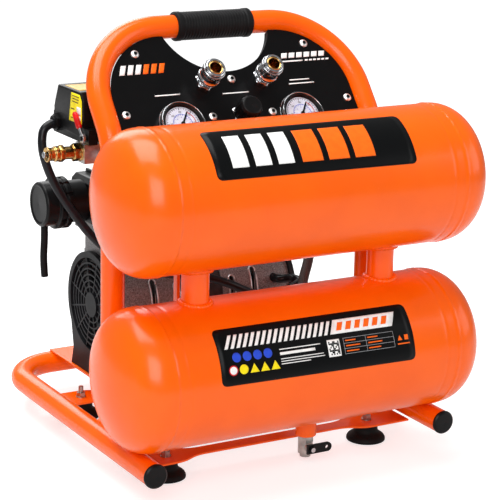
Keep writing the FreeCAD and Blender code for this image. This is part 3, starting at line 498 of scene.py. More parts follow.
def sand_cast(name, code, rough=0.5):
    """Sand-cast aluminium: grey skin and grit about 1.2 mm across, whose colour follows its relief: the
    bright specks where grains stand out are painted highlight, the darker pits painted shade.
    """
    # colour and relief share one noise: raised grit is painted lighter as highlight, pits painted darker as
    # shade
    return skin(name, code, (1.2, 4, 0.4, 0.25, 0.3, 0.72), (2.0, 3, rough - 0.15, rough + 0.12),
                (1.2, 4, 0.25, 0.8), Metallic=0.25)


def metal(name, code, rough, brushed_mm=0.35, depth=0.012, stretch=(1, 1, 8)):
    """Plated or bare metal: fine tool marks drawn out along one axis, and uneven polish."""
    return skin(name, code, (6, 3, 0.1, 0.06), (brushed_mm, 2, rough * 0.75, rough * 1.35),
                (brushed_mm, 2, depth, 0.6), stretch, Metallic=1.0)


def printed(name, code, rough=0.35, shine=0.12):
    """Printed vinyl film: flat ink under a thin clear skin, a little uneven in gloss."""
    return skin(name, code, (5, 3, 0.03, 0.03), (12, 3, rough - 0.05, rough + 0.05), (2.5, 1, 0.006, 0.4),
                Specular_IOR_Level=shine)


def strands(tree):
    """Crossed strands about 1.2 mm wide, on the hose's own UV map: the higher of two slanted waves."""
    around = add_node(tree, "ShaderNodeUVMap").outputs["UV"]
    lay = []
    for turn in (0.62, -0.62):
        slant = add_node(tree, "ShaderNodeMapping", Vector=around, Scale=(150, 9, 1), Rotation=(0, 0, turn))
        wave = add_node(tree, "ShaderNodeTexWave", Vector=slant.outputs["Vector"], Scale=0.5)
        lay.append(wave.outputs["Fac"])
    return add_node(tree, "ShaderNodeMath", {"operation": "MAXIMUM"}, _0=lay[0], _1=lay[1]).outputs["Value"]


def build_materials():
    """Every finish, by its common name."""
    c = colours()
    return {
        # baked coats: a soft shine with a faint ripple on the frame, duller black on the panel
        "orange": powder_coat("powder_coat_orange", c.paint),
        "panel": powder_coat("powder_coat_black", c.panel, 0.3, 0.0, 0.15),
        # rubbers and plastics, from the dull feet to the softer shine of cable covers
        "rubber": moulded("natural_rubber", "101011", 0.6, 0.9, 0.05),
        "grip": moulded("soft_grip_rubber", "121213", 0.5, 0.7, 0.04),
        "abs": moulded("moulded_abs", "0A0A0B", 0.36, 0.7, 0.02, 0.0, 0.2),
        "abs_grey": moulded("moulded_abs_grey", "1B1B1D", 0.45, 0.7, 0.03),
        "pvc": moulded("cable_pvc", "15161A", 0.3, 1.5, 0.02, 0.2),
        "red": moulded("red_pvc_sleeve", "D01414", 0.3, 1.5, 0.02, 0.3),
        # a gritty grey cast skin against bright machined edges
        "casting": sand_cast("sand_cast_aluminium", c.casting),
        "cut_edge": metal("machined_aluminium", "D9D9DA", 0.3),
        # plating and bare metal, from mirror chrome to dull laminations
        "chrome": metal("chrome_plate", "C9CBCE", 0.1, 0.5, 0.004),
        "zinc": metal("zinc_plated_steel", "B9B9B4", 0.32),
        "bright_zinc": metal("bright_zinc_plate", "F0F0EE", 0.4),
        "steel": metal("bright_steel", "A7A9AB", 0.3),
        "brass": metal("turned_brass", c.brass, 0.2, 0.4, 0.01),
        "iron": metal("laminated_iron", "4A4A4C", 0.5, 0.5, 0.05, (6, 1, 1)),
        # paper, enamel and vinyl: even ink with a slightly uneven gloss
        "card": printed("label_card", "D9B36A"),
        "dial": printed("dial_enamel", "DCE4F2", 0.5),
        # woven cover of the air hose: dull dark strands whose colour follows the weave's relief, painted
        # shade in the grooves between strands and painted highlight on their crowns
        "braid": skin("braided_hose_cover", "3A3330", (0, 0, 0.5, 0.35, 0.2, 0.9), None, (0, 0, 0.4, 0.8),
                      pattern=strands, Roughness=0.55),
        # clear acrylic window: thin, so it hardly bends what is behind it
        "window": skin("clear_acrylic", "FFFFFF", gloss=(8, 3, 0.01, 0.05), Transmission_Weight=1.0,
                       IOR=1.1, Alpha=0.25),
        "ink_black": printed("vinyl_black", "0A0B0C", 0.3),
        **{"ink_" + ink: printed("vinyl_" + ink, code) for ink, code in INKS.items()},
    }


FINISH = {}
INKS = {"white": "F4F4F2", "dots": "F4F4F2", "orange": "FF6A1A", "blue": "2E4FD0", "yellow": "F5DE1E",
        "red": "D4252A", "grey": "9A9C9F", "brown": "6B5310"}


# ------------------------------------------------------------ tanks
def tank(z):
    """Tank as one surface of revolution about X.

    Half profile, from the nose: crown arc, knuckle arc, straight skirt, ring weld at
    the seam and a shallow rolled groove further in; the weld's height ripples round the tank."""
    radius, depth = TANK_RADIUS, TANK_HALF - SHELL_HALF - SKIRT
    offset = radius - KNUCKLE
    crown = (offset ** 2 + depth ** 2 - KNUCKLE ** 2) / (2 * (depth - KNUCKLE))
    base = SHELL_HALF + SKIRT
    centre = base + depth - crown
    split = math.atan2(offset, base - centre)
    t = np.linspace(0, 1, 22, endpoint=False)
    crown_arc = np.column_stack([crown * np.sin(split * t), centre + crown * np.cos(split * t)])
    a = split + (math.pi / 2 - split) * np.linspace(0, 1, 18, endpoint=False)
    knuckle_arc = np.column_stack([offset + KNUCKLE * np.sin(a), base + KNUCKLE * np.cos(a)])
    h = np.concatenate([np.linspace(base, SHELL_HALF + 4.2, 3, endpoint=False),
                        np.linspace(SHELL_HALF + 4.2, SHELL_HALF - 4.5, 22, endpoint=False),
                        np.linspace(SHELL_HALF - 4.5, SHELL_HALF - 18, 14, endpoint=False),
                        np.linspace(SHELL_HALF - 18, 0, 8, endpoint=False)])
    half = np.vstack([crown_arc, knuckle_arc, np.column_stack([np.full(len(h), radius), h])])
    profile = np.vstack([half, [(radius, 0)], half[::-1] * (1, -1)])
    height = sizes().weld_height

    def seams(r, h, a):
        from_seam = np.abs(h) - SHELL_HALF
        ripple = 0.75 + 0.18 * np.sin(150 * a + 3 * np.sin(5 * a)) + 0.12 * np.sin(37 * a + h)
        bead = height * np.exp(-(from_seam / 1.5) ** 2) * ripple
        lip = 0.35 / (1 + np.exp(np.clip(-(from_seam - 0.5) * 2, -50, 50))) * np.exp(-(from_seam / 12) ** 2)
        groove = -0.28 * np.exp(-((from_seam + 12.5) / 1.6) ** 2)
        return (bead + lip + groove) * (r > radius - 4)

    return lathe(profile, (0, 0, z), (1, 0, 0), 300, seams, loop=False)


def tank_height(y, z, above):
    """Height of the tank's skin over or under its axis at a distance y from it."""
    return z + above * np.sqrt(np.maximum((TANK_RADIUS - 0.4) ** 2 - y ** 2, 0))


def link_pipe(x):
    """Upright pipe whose ends are cut to the tanks, and the two beads that weld it on."""
    a = np.linspace(0, TURN, 64, endpoint=False)
    t = np.linspace(0, 1, 24)[:, None]
    flare = 12.5 + 1.3 * (np.exp(-t * 40 * 0.35) + np.exp(-(1 - t) * 40 * 0.35))
    px, py = x + flare * np.cos(a), flare * np.sin(a)
    low, high = tank_height(py, LOWER_Z, 1) - 0.6, tank_height(py, UPPER_Z, -1) + 0.6
    wall = surface(np.stack([px, py, low + (high - low) * t], -1))
    shapes = [wall]
    ring = np.linspace(0, TURN, 200, endpoint=False)
    for z, above in ((LOWER_Z, 1), (UPPER_Z, -1)):
        bx, by = x + 14.0 * np.cos(ring), 14.0 * np.sin(ring)
        path = np.column_stack([bx, by, tank_height(by, z, above) + 0.7 * above])
        shapes.append(swept(path, 2.3, UP, 14, True, 0.09, 30))
    return merged(shapes)


class COMPRESSOR_OT_tanks(bpy.types.Operator):
    """Tanks, link pipes, rear strap and drain boss"""
    bl_idname = "compressor.tanks"
    bl_label = "Tanks"

    def execute(self, context):
        for name, z in (("upper_tank", UPPER_Z), ("lower_tank", LOWER_Z)):
            halves = (name + "_shell", name + "_heads")
            piece(name, tank(z), "orange", replaces=halves, sharp=60)
        strap = slab((-91.5, 46, LOWER_Z + 44), (-88.5, 54, UPPER_Z - 44), 1.0)
        links = merged([link_pipe(-LINK_X), link_pipe(LINK_X), strap])
        piece("tank_link_pipes", links, "orange", replaces=("tank_links",), sharp=60)
        ring = np.linspace(0, TURN, 120, endpoint=False)
        x, y = DRAIN_X + 10.5 * np.cos(ring), 10.5 * np.sin(ring)
        path = np.column_stack([x, y, tank_height(y, LOWER_Z, -1) - 0.2])
        bead = swept(path, 1.0, UP, 12, True, 0.1, 18)
        profile = rounded([(5, 29), (9.8, 29), (9.8, 46.5), (5, 46.5)], 0.6)
        boss = lathe(profile, (DRAIN_X, 0, 0), UP, 48)
        piece("drain_boss_weld", merged([boss, bead]), "orange", replaces=("drain_boss",))
        return {"FINISHED"}


# ------------------------------------------------------------ tube frame
class COMPRESSOR_OT_tubes(bpy.types.Operator):
    """Bent base tube, handle hoop, grip, end caps, plates and feet"""
    bl_idname = "compressor.tubes"
    bl_label = "Tube frame"

    def execute(self, context):
        base = [(x, y, TUBE_Z) for x, y in ((-BASE_X, BASE_FRONT), (-BASE_X, BASE_BACK),
                                            (BASE_X, BASE_BACK), (BASE_X, BASE_FRONT))]
        piece("base_tube_bent", swept(bent_line(base, (BASE_BEND, BASE_BEND)), TUBE_R, UP, 48), "orange",
              replaces=("base_tube",), sharp=60)
        start = (HOOP_Y - PANEL_AT[1] - HOOP_BACK * math.cos(LEAN)) / math.sin(LEAN)
        knee = on_panel(np.array((0, start, -HOOP_BACK)))[2]
        top = on_panel(np.array([(-HOOP_X, HOOP_TOP, -HOOP_BACK), (HOOP_X, HOOP_TOP, -HOOP_BACK)]))
        left = [(-HOOP_X, HOOP_Y, z) for z in (35, knee)]
        right = [(HOOP_X, HOOP_Y, z) for z in (knee, 35)]
        line = bent_line(left + list(top) + right, (HOOP_FOOT_BEND, HOOP_BEND, HOOP_BEND, HOOP_FOOT_BEND))
        shapes = [swept(line, TUBE_R, PANEL_OUT, 48)]
        ring = np.linspace(0, TURN, 90, endpoint=False)
        for side in (-1, 1):
            x, y = side * HOOP_X + 12.2 * np.cos(ring), HOOP_Y + 12.2 * np.sin(ring)
            height = TUBE_Z + np.sqrt(np.maximum(TUBE_R ** 2 - (np.abs(x) - BASE_X) ** 2, 16))
            shapes.append(swept(np.column_stack([x, y, height + 0.5]), 2.0, UP, 10, True, 0.1, 16))
        piece("handle_hoop_bent", merged(shapes), "orange", replaces=("handle_hoop",), sharp=60)
        self.grip()
        cap = rounded([(0, 12), (9.3, 12), (9.3, 0.2), (11.35, 0.2), (11.35, -1.6), (9.6, -3.2),
                       (0, -3.5)], 0.5)
        caps = [lathe(cap, (x, BASE_FRONT, TUBE_Z), (0, 1, 0), 64, loop=False) for x in (-BASE_X, BASE_X)]
        piece("tube_caps", merged(caps), "abs", replaces=("tube_end_caps",))
        for node, finish, edge in (("foot_plates", "orange", 0.5), ("pump_plate", "orange", 0.5),
                                   ("hoop_brackets", "orange", 0.4), ("foot_bolts", "zinc", 0.3)):
            refined(node, finish, edge=edge)
        foot = rounded([(3.2, 6), (3.2, 18), (12.5, 18), (11.2, 12), (12.2, 8.6), (17.5, 5), (19, 2.6),
                        (19, 0), (13.5, 0), (9, 6)], 1.0, 4)
        feet = [lathe(foot, at, UP, 56) for at in FEET]
        piece("rubber_feet_moulded", merged(feet), "rubber", replaces=("rubber_feet",))
        return {"FINISHED"}

    def grip(self):
        """Grip: r = 12.95 + 0.55 |sin|^0.6 along its length, with a plain collar 1 mm proud at each end."""
        pitch = sizes().grip_pitch
        h = np.linspace(-GRIP_HALF, GRIP_HALF, 400)
        ribs = 0.55 * np.abs(np.sin(math.pi * h / pitch)) ** 0.6
        collar = 1 / (1 + np.exp(-(np.abs(h) - GRIP_HALF + 6.5) * 4))
        r = 12.95 + ribs * (1 - collar) + 1.0 * collar
        r -= 1.6 * np.exp(-((GRIP_HALF - np.abs(h)) / 0.8) ** 2)
        profile = np.vstack([[(11.02, -GRIP_HALF)], np.column_stack([r, h]), [(11.02, GRIP_HALF)]])
        middle = on_panel(np.array([0, HOOP_TOP, -HOOP_BACK]))
        piece("handle_grip_ribbed", lathe(profile, middle, (1, 0, 0), 72), "grip",
              replaces=("handle_grip",), sharp=50)


# ------------------------------------------------------------ control panel
def on_face(out):
    """Mapping of (x, up the panel) prints to the panel at a height above its plane."""
    return lambda g: on_panel(np.concatenate([g, np.full(g.shape[:-1] + (1,), out)], -1))


def bars(x, y, count, width, gap, height, slant):
    """Row of slanted parallelograms."""
    base = np.array([(0, 0), (width, 0), (width + slant, height), (slant, height)], float)
    return [base + (x + k * (width + gap), y) for k in range(count)]


def gauge_dial(x, name):
    """Dial prints of one gauge: a tick every 9 degrees, two scales as ring sectors, and figures."""
    centre = np.array((x, GAUGE_S))
    face = on_face(DIAL_OUT)

    def ring(r0, r1, a0, a1):
        a = np.radians(np.linspace(a0, a1, 40))
        outer = np.column_stack([np.cos(a), np.sin(a)])
        strip = np.stack([centre + r0 * outer, centre + r1 * outer])
        return surface(face(strip), wrap_columns=False)

    def ticks(step, r0, r1, width):
        shapes = []
        for angle in np.arange(225, -46, -step):
            a = math.radians(angle)
            along, across = np.array((math.cos(a), math.sin(a))), np.array((-math.sin(a), math.cos(a)))
            corners = [centre + along * r + across * w for r, w in
                       ((r0, -width), (r1, -width), (r1, width), (r0, width))]
            shapes.append(surface(face(np.array([[corners[0], corners[1]], [corners[3], corners[2]]])),
                                  wrap_columns=False))
        return shapes

    black = ticks(9, 14.6, 16.0, 0.16) + ticks(45, 13.8, 16.0, 0.3) + [ring(16.0, 16.3, 225, -45)]
    black += figures(centre, 11.6, 3.0, [str(k * 30) for k in range(7)])
    blue = ticks(13.5, 8.2, 9.4, 0.2) + [ring(9.4, 9.8, 225, -45)]
    blue += figures(centre, 6.6, 2.0, [str(k * 2) for k in range(7)])
    red = [ring(13.0, 13.7, 60, -45)]
    prints = (("figures", black, "ink_black"), ("inner", blue, "ink_blue"), ("arc", red, "ink_red"))
    for kind, shapes, ink in prints:
        piece(f"{name}_{kind}", merged(shapes), ink, film_mm=0.06)


def figures(centre, radius, height, words):
    """Figures spaced evenly over the dial's sweep, as flat meshes."""
    shapes = []
    for word, angle in zip(words, np.linspace(225, -45, len(words))):
        text = bpy.data.curves.new("figure", "FONT")
        text.body = word
        text.size = height
        text.align_x, text.align_y = "CENTER", "CENTER"
        text.resolution_u = 2
        holder = bpy.data.objects.new("figure", text)
        bpy.context.scene.collection.objects.link(holder)
        mesh = bpy.data.meshes.new_from_object(holder)
        co = np.zeros(len(mesh.vertices) * 3)
        mesh.vertices.foreach_get("co", co)
        a = math.radians(angle)
        flat = co.reshape(-1, 3)[:, :2] + centre + radius * np.array((math.cos(a), math.sin(a)))
        shapes.append((on_face(DIAL_OUT)(flat), [list(p.vertices) for p in mesh.polygons]))
        bpy.data.objects.remove(holder)
    return shapes


class COMPRESSOR_OT_panel(bpy.types.Operator):
    """Control panel with its prints, screws, gauges, couplings and regulator knob"""
    bl_idname = "compressor.panel"
    bl_label = "Control panel"

    def execute(self, context):
        refined("control_panel", "panel", edge=0.6)
        self.prints()
        self.gauges()
        self.couplings()
        refined("panel_screws", "bright_zinc", edge=0.25)
        # black discs in the screw heads: painted shade standing for the dark of the hex sockets' hollows
        socket = [(0, 1.5), (1.85, 1.5), (1.85, 1.72), (0, 1.72)]
        sockets = [lathe(socket, on_panel((x, s, 0)), PANEL_OUT, 6, loop=False) for x, s in SCREWS]
        piece("panel_screw_socket_shade", merged(sockets), "abs")
        refined("outlet_manifold", "casting", edge=0.5)
        refined("regulator_body", "brass", edge=0.4)
        self.knob()
        return {"FINISHED"}

    def prints(self):
        """Plain stripes and lines in place of names; they sit just above the paint."""
        face = on_face(-0.93)
        white = bars(-113, 31, 3, 5.4, 2.6, 10, 4.4)
        white += bars(56, 33.2, 1, 28, 0, 1.4, 0)
        white += bars(86, 33.1, 6, 3.4, 1.3, 1.7, 0.9)
        white += bars(61, 37.4, 6, 6.4, 2.0, 5.5, 2.2)
        for x, s, width in ((-84, 7, 26), (-14, 4, 28), (62, 13, 22), (60, 9, 28)):
            white += bars(x, s, 1, width, 0, 1.1, 0)
        orange = bars(-89, 31, 3, 5.4, 2.6, 10, 4.4)
        for ink, outlines in (("white", white), ("orange", orange)):
            shape = merged([film(o, face, 2, 8) for o in outlines])
            piece("panel_print_" + ink, shape, "ink_" + ink, film_mm=0.05)

    def gauges(self):
        """Each gauge: a plated ring, a black ring inside it that is painted shade of the deep bezel, a clear
        window and a dial plate, all turned.
        """
        ring = rounded([(20.4, -1), (22.6, -1), (22.6, 1.0), (22.0, 1.6), (22.0, 5.4), (21.4, 6.7),
                        (20.8, 6.7), (20.4, 6.0)], 0.5, 4)
        # black ring over the dial's edge: painted shade for the dark inside the deep bezel
        inner = rounded([(17.0, 3.65), (20.3, 3.65), (20.3, 5.8), (19.9, 6.3), (19.2, 6.3), (17.4, 4.2)], 0.3)
        pane = [(0, 5.25), (19.9, 5.25), (19.9, 5.55), (0, 5.55)]
        plate = [(0, 3.1), (19.8, 3.1), (19.8, 3.6), (0, 3.6)]
        bezels, windows, dials, rims = [], [], [], []
        for x in GAUGES_X:
            at = on_panel((x, GAUGE_S, 0))
            bezels.append(lathe(ring, at, PANEL_OUT, 96))
            rims.append(lathe(inner, at, PANEL_OUT, 96))
            windows.append(lathe(pane, at, PANEL_OUT, 96, loop=False))
            dials.append(lathe(plate, at, PANEL_OUT, 96, loop=False))
        piece("gauge_rings", merged(bezels), "chrome", replaces=("gauge_bezels",))
        # black rings over the dials' edges, painted shade inside the bezels
        piece("gauge_bezel_painted_shade", merged(rims), "abs")
        piece("gauge_windows", merged(windows), "window", replaces=("gauge_lenses",))
        piece("gauge_dial_plates", merged(dials), "dial", replaces=("gauge_dials",))
        refined("gauge_cases", "steel", edge=0.4)
        for x, which in zip(GAUGES_X, ("tank", "outlet")):
            gauge_dial(x, which + "_gauge")
            self.needle(which + "_gauge_pointer", x, "needle_" + which)

    def needle(self, node, x, body):
        """Tapered blade from tail to tip with a domed hub, pointing 58 degrees round from +X."""
        a = math.radians(58)
        along, across = np.array((math.cos(a), math.sin(a))), np.array((-math.sin(a), math.cos(a)))
        t = np.array([-4.5, -3.6, 0.0, 12.4, 14.4])
        w = np.array([0.7, 1.15, 1.0, 0.62, 0.05])
        rows = []
        for side, out in ((1, 3.95), (1, 4.25), (-1, 4.25), (-1, 3.95)):
            flat = np.array((x, GAUGE_S)) + t[:, None] * along + side * w[:, None] * across
            rows.append(on_face(out)(flat))
        blade = surface(np.stack(rows, 1), ends=(True, True))
        at = on_panel((x, GAUGE_S, 0))
        hub = lathe([(0, 3.8), (2.1, 3.8), (2.1, 4.3), (1.5, 4.7), (0, 4.8)], at, PANEL_OUT, 32, loop=False)
        piece(node + "_blade", merged([blade, hub]), "ink_black", body, (node,))

    def couplings(self):
        """Each coupling: a socket tube, a brass mouth, a hexagon nut and a sleeve with two milled bands."""
        tube = rounded([(6.4, -1), (7.4, -1), (7.4, 6.2), (8.0, 6.2), (8.0, 28.2), (9.6, 28.2), (9.6, 30.2),
                        (8.7, 30.6), (7.4, 30.6), (7.4, 24), (6.4, 24)], 0.25)
        mouth = rounded([(5.6, 2), (6.35, 2), (6.35, 24.1), (7.3, 24.1), (7.3, 30.2), (6.6, 30.9),
                         (5.6, 30.4)], 0.2)
        sleeve = rounded([(8.05, 12), (10.6, 12), (11, 12.4), (11, 14.6), (10.2, 15.4), (9.6, 16.5),
                          (9.6, 20.5), (10.3, 22.8), (11, 23.8), (11, 27.2), (10.6, 27.6),
                          (8.05, 27.6)], 0.3, 4)

        def milled(r, h, a):
            band = ((h > 24.2) & (h < 27.4) & (r > 10.5)) | ((h > 12.3) & (h < 14.6) & (r > 10.5))
            return -0.35 * band * (np.cos(40 * a) > 0.2)

        sockets, mouths, nuts = [], [], []
        for side, name in ((-1, "left"), (1, "right")):
            at = on_panel((side * COUPLER_X, COUPLER_S, 0))
            sockets.append(lathe(tube, at, PANEL_OUT, 64))
            mouths.append(lathe(mouth, at, PANEL_OUT, 64))
            mouths.append(lathe([(0, 2), (5.6, 2), (5.6, 2.6), (0, 2.6)], at, PANEL_OUT, 32, loop=False))
            nuts.append(self.nut(at, 18, 7.5, 6.0))
            piece(name + "_coupler_sleeve_milled", lathe(sleeve, at, PANEL_OUT, 240, milled), "chrome",
                  "sleeve_" + name, (name + "_coupler_sleeve",))
        nuts.append(self.nut(on_panel((0, KNOB_S, 0)), 22, 8.5, 2.4))
        piece("coupler_sockets", merged(sockets), "chrome", replaces=("coupler_bodies",))
        piece("coupler_mouths", merged(mouths), "brass")
        piece("panel_nuts_turned", merged(nuts), "chrome", replaces=("panel_nuts",))

    def nut(self, at, flats, hole, height):
        """Thin hexagon nut with coned corners and a round hole."""
        radius = flats / math.sqrt(3)
        outline = [(hole, -1), (flats / 2, -1), (radius, -0.9), (radius, height - 0.7),
                   (flats / 2, height), (hole, height)]
        return lathe(outline, at, PANEL_OUT, 72, hexagonal(flats))

    def knob(self):
        """Knob: r = 11 less 14 rounded flutes, under a shallow dished top."""
        at = on_panel((0, KNOB_S, 0))

        def flutes(r, h, a):
            deep = np.clip((19.0 - h) / 3, 0, 1) * (r > 8)
            return -0.9 * deep * np.maximum(0, -np.cos(14 * a)) ** 0.5

        outline = rounded([(5.05, 3.2), (10.8, 3.2), (11, 3.6), (11, 17.6), (9.4, 20.4), (7.6, 20.9),
                           (0.01, 20.3), (0.01, 16.3), (5.05, 16.3)], 0.5, 4)
        piece("regulator_knob_fluted", lathe(outline, at, PANEL_OUT, 168, flutes), "abs",
              "knob", ("regulator_knob",))


# ------------------------------------------------------------ tank labels
LABELS = {"upper": ((-108.7, 71.8), (-109.8, 25.2), (93.3, 23.0), (94.2, 70.9)),
          "lower": ((-104.8, 51.0), (-105.2, 5.4), (97.5, 2.3), (95.7, 49.9))}


def on_tank(which, lift):
    """Mapping of label millimetres (along, down from the top left) to the tank's skin."""
    z = UPPER_Z if which == "upper" else LOWER_Z
    corners = np.array(LABELS[which]) * (1, math.radians(1) * TANK_RADIUS)
    width = corners[3, 0] - corners[0, 0]
    height = corners[0, 1] - corners[1, 1]

    def mapping(g):
        u, v = g[..., :1] / width, g[..., 1:] / height
        flat = ((1 - u) * (1 - v) * corners[0] + (1 - u) * v * corners[1]
                + u * v * corners[2] + u * (1 - v) * corners[3])
        angle = flat[..., 1] / TANK_RADIUS
        r = TANK_RADIUS + lift
        return np.stack([flat[..., 0], -r * np.cos(angle), z + r * np.sin(angle)], -1)

    return mapping, width, height


def box_outline(x, y, w, h, slant=0.0):
    return np.array([(x, y + h), (x + w, y + h), (x + w + slant, y), (x + slant, y)], float)


class COMPRESSOR_OT_labels(bpy.types.Operator):
    """Printed labels on both tanks, with plain shapes in place of names and signs"""
    bl_idname = "compressor.labels"
    bl_label = "Tank labels"

    def execute(self, context):
        for which in ("upper", "lower"):
            mapping, width, height = on_tank(which, 0.10)
            rim = rounded([(0, 0), (width, 0), (width, height), (0, height)], 6, 8)
            piece(which + "_label", film(rim, mapping, 14, 160), "ink_black", film_mm=0.12)
            inks = self.upper(height) if which == "upper" else self.lower()
            face, over = on_tank(which, 0.20)[0], on_tank(which, 0.28)[0]
            for ink, outlines in inks.items():
                layer = over if ink in ("black", "orange", "dots") else face
                shape = merged([self.patch(o, layer) for o in outlines])
                piece(f"{which}_label_{ink}", shape, "ink_" + ink, film_mm=0.06)
        return {"FINISHED"}

    def patch(self, outline, layer):
        """One printed shape, cut finely enough to follow the tank: a step of about 1.5 mm both ways."""
        wide, tall = np.ptp(outline, axis=0)
        return film(outline, layer, max(3, round(tall / 3)), max(20, round((wide + tall) / 0.75)))

    def upper(self, height):
        """Bold bars, three white and three orange."""
        top, tall = height * 0.17, height * 0.64
        white = [box_outline(x, top, 16, tall, 1) for x in (17, 39.5, 62)]
        orange = [box_outline(x, top, 21, tall, 1) for x in (86, 113, 140)]
        return {"white": white, "orange": orange}

    def lower(self):
        """Stripes and a plate above; coloured dots, lines, a checked square and a ruled table below."""
        white = [box_outline(7 + 5.95 * k, 7, 3.3, 12.5, 7) for k in range(18)]
        white += [box_outline(114.5, 6.5, 66, 13, 7)]
        blue = [circle(17 + 10.4 * k, 27.6, 4.3) for k in range(4)]
        yellow = [circle(22.5, 38.6, 4.3)]
        yellow += [np.array([(x - 4.6, 42.4), (x + 4.6, 42.4), (x, 34.4)], float) for x in (33, 43.5, 54)]
        red = [circle(12.2, 38.6, 4.5)]
        dots = [circle(12.2, 38.6, 3.5)]
        lines = ((25.6, 42, 0.8), (28.6, 36, 2.4), (34.0, 44, 0.7), (36.2, 45, 0.7), (38.4, 30, 0.7))
        white += [box_outline(60, y, w, h) for y, w, h in lines]
        white += [box_outline(109, 24, 13, 15)]
        step = 1.35
        black = [box_outline(110.2 + step * i, 25.6 + 1.5 * j, step * 0.96, 1.4)
                 for i in range(8) for j in range(8) if (i * 3 + j * 5 + i * j) % 4 < 2]
        grey = [box_outline(126, 24 + 4.6 * k, 53, 0.35) for k in range(4)]
        grey += [box_outline(x, 24, 0.35, 14.1) for x in (126, 149.5, 179)]
        words = [(26 + 4.6 * k, w) for k, w in enumerate((11, 15, 13))]
        orange = [box_outline(x, y, w, 1.0) for x in (128, 151.5) for y, w in words]
        orange += [np.array([(183, 33), (188, 33), (185.5, 28.5)], float), box_outline(190.5, 28.5, 4, 4.5)]
        orange += [box_outline(182.5, 35.5, 13, 1.1)]
        orange += [box_outline(121.5 + 9.5 * k, 9.3, 5.6, 7.4, 4) for k in range(6)]
        return {"red": red, "white": white, "dots": dots, "blue": blue, "yellow": yellow, "grey": grey,
                "orange": orange, "black": black}


# ------------------------------------------------------------ pump
class COMPRESSOR_OT_pump(bpy.types.Operator):
    """Twin pump: castings, guards, cylinders, heads, filter and motor"""
    bl_idname = "compressor.pump"
    bl_label = "Pump"

    def execute(self, context):
        refined("crankcases", "casting", edge=0.7, edge_finish="cut_edge")
        self.slot_rims()
        for node, finish, edge in (("cylinders", "casting", 0.4), ("cylinder_heads", "abs", 0.8),
                                   ("fan_shrouds", "abs_grey", 0.45), ("crank_bearings", "steel", 0.3),
                                   ("motor_stator", "iron", 0.5), ("pump_bolts", "zinc", 0.3)):
            refined(node, finish, edge=edge)
        refined("cooling_fans", "abs", "crank", edge=0.2)
        refined("crankshaft", "steel", "crank", edge=0.3)
        for side in ("left", "right"):
            refined(side + "_piston", "cut_edge", "piston_" + side)
        refined("capacitor", "abs", edge=0.8)
        pipe = bar((-32, PUMP_Y, HEAD_PIPE_Z), (32, PUMP_Y, HEAD_PIPE_Z), 5, 32)
        piece("head_link_pipe_bent", pipe, "zinc", replaces=("head_link_pipe",))
        self.filter()
        return {"FINISHED"}

    def slot_rims(self):
        """Milled lip round each air slot: a bead along the slot's outline, laid on the drum's radius."""
        half, run = 36, 22
        a = np.linspace(0, TURN, 2 * half, endpoint=False)
        rims = []
        for x, low, high in SLOTS:
            up = np.where(np.sin(a) > 0, high, low) + SLOT_HALF * np.sin(a)
            straight = np.linspace(low, high, run + 2)[1:-1]
            round_end = SLOT_HALF * np.cos(a)
            across = np.concatenate([round_end[:half], np.full(run, -SLOT_HALF),
                                     round_end[half:], np.full(run, SLOT_HALF)])
            up = np.concatenate([up[:half], straight[::-1], up[half:], straight])
            depth = np.sqrt((DRUM_R + 0.1) ** 2 - up ** 2)
            for side, way in ((-1, -1), (-1, 1), (1, -1), (1, 1)):
                path = np.column_stack([side * x + across, PUMP_Y + way * depth, PUMP_Z + up])
                rims.append(swept(path, 0.85, (0, 1, 0), 10, True))
        piece("air_slot_rims", merged(rims), "cut_edge", sharp=60)

    def filter(self):
        """Canister: turned shell with a notched flange, a pressed end and a short outlet neck."""
        at = (-112, PUMP_Y, 223)

        def notches(r, h, a):
            flange = (h > 18.5) & (h < 30.5) & (r > 22)
            return -1.6 * flange * (np.cos(12 * a) > 0.86)

        outline = rounded([(0.01, 0.4), (20.5, 0.4), (20.5, 17), (22, 17.8), (25, 18.2), (25, 23), (24, 23.6),
                           (24, 25.2), (25, 25.8), (25, 31), (21.8, 32), (21.8, 43.4), (20.2, 45.4),
                           (18.2, 45.4), (17.2, 44.4), (0.01, 44.6)], 0.7, 4)
        shell = lathe(outline, at, (-1, 0, 0), 144, notches, loop=False)
        piece("intake_filter_canister", shell, "abs", replaces=("intake_filter",))


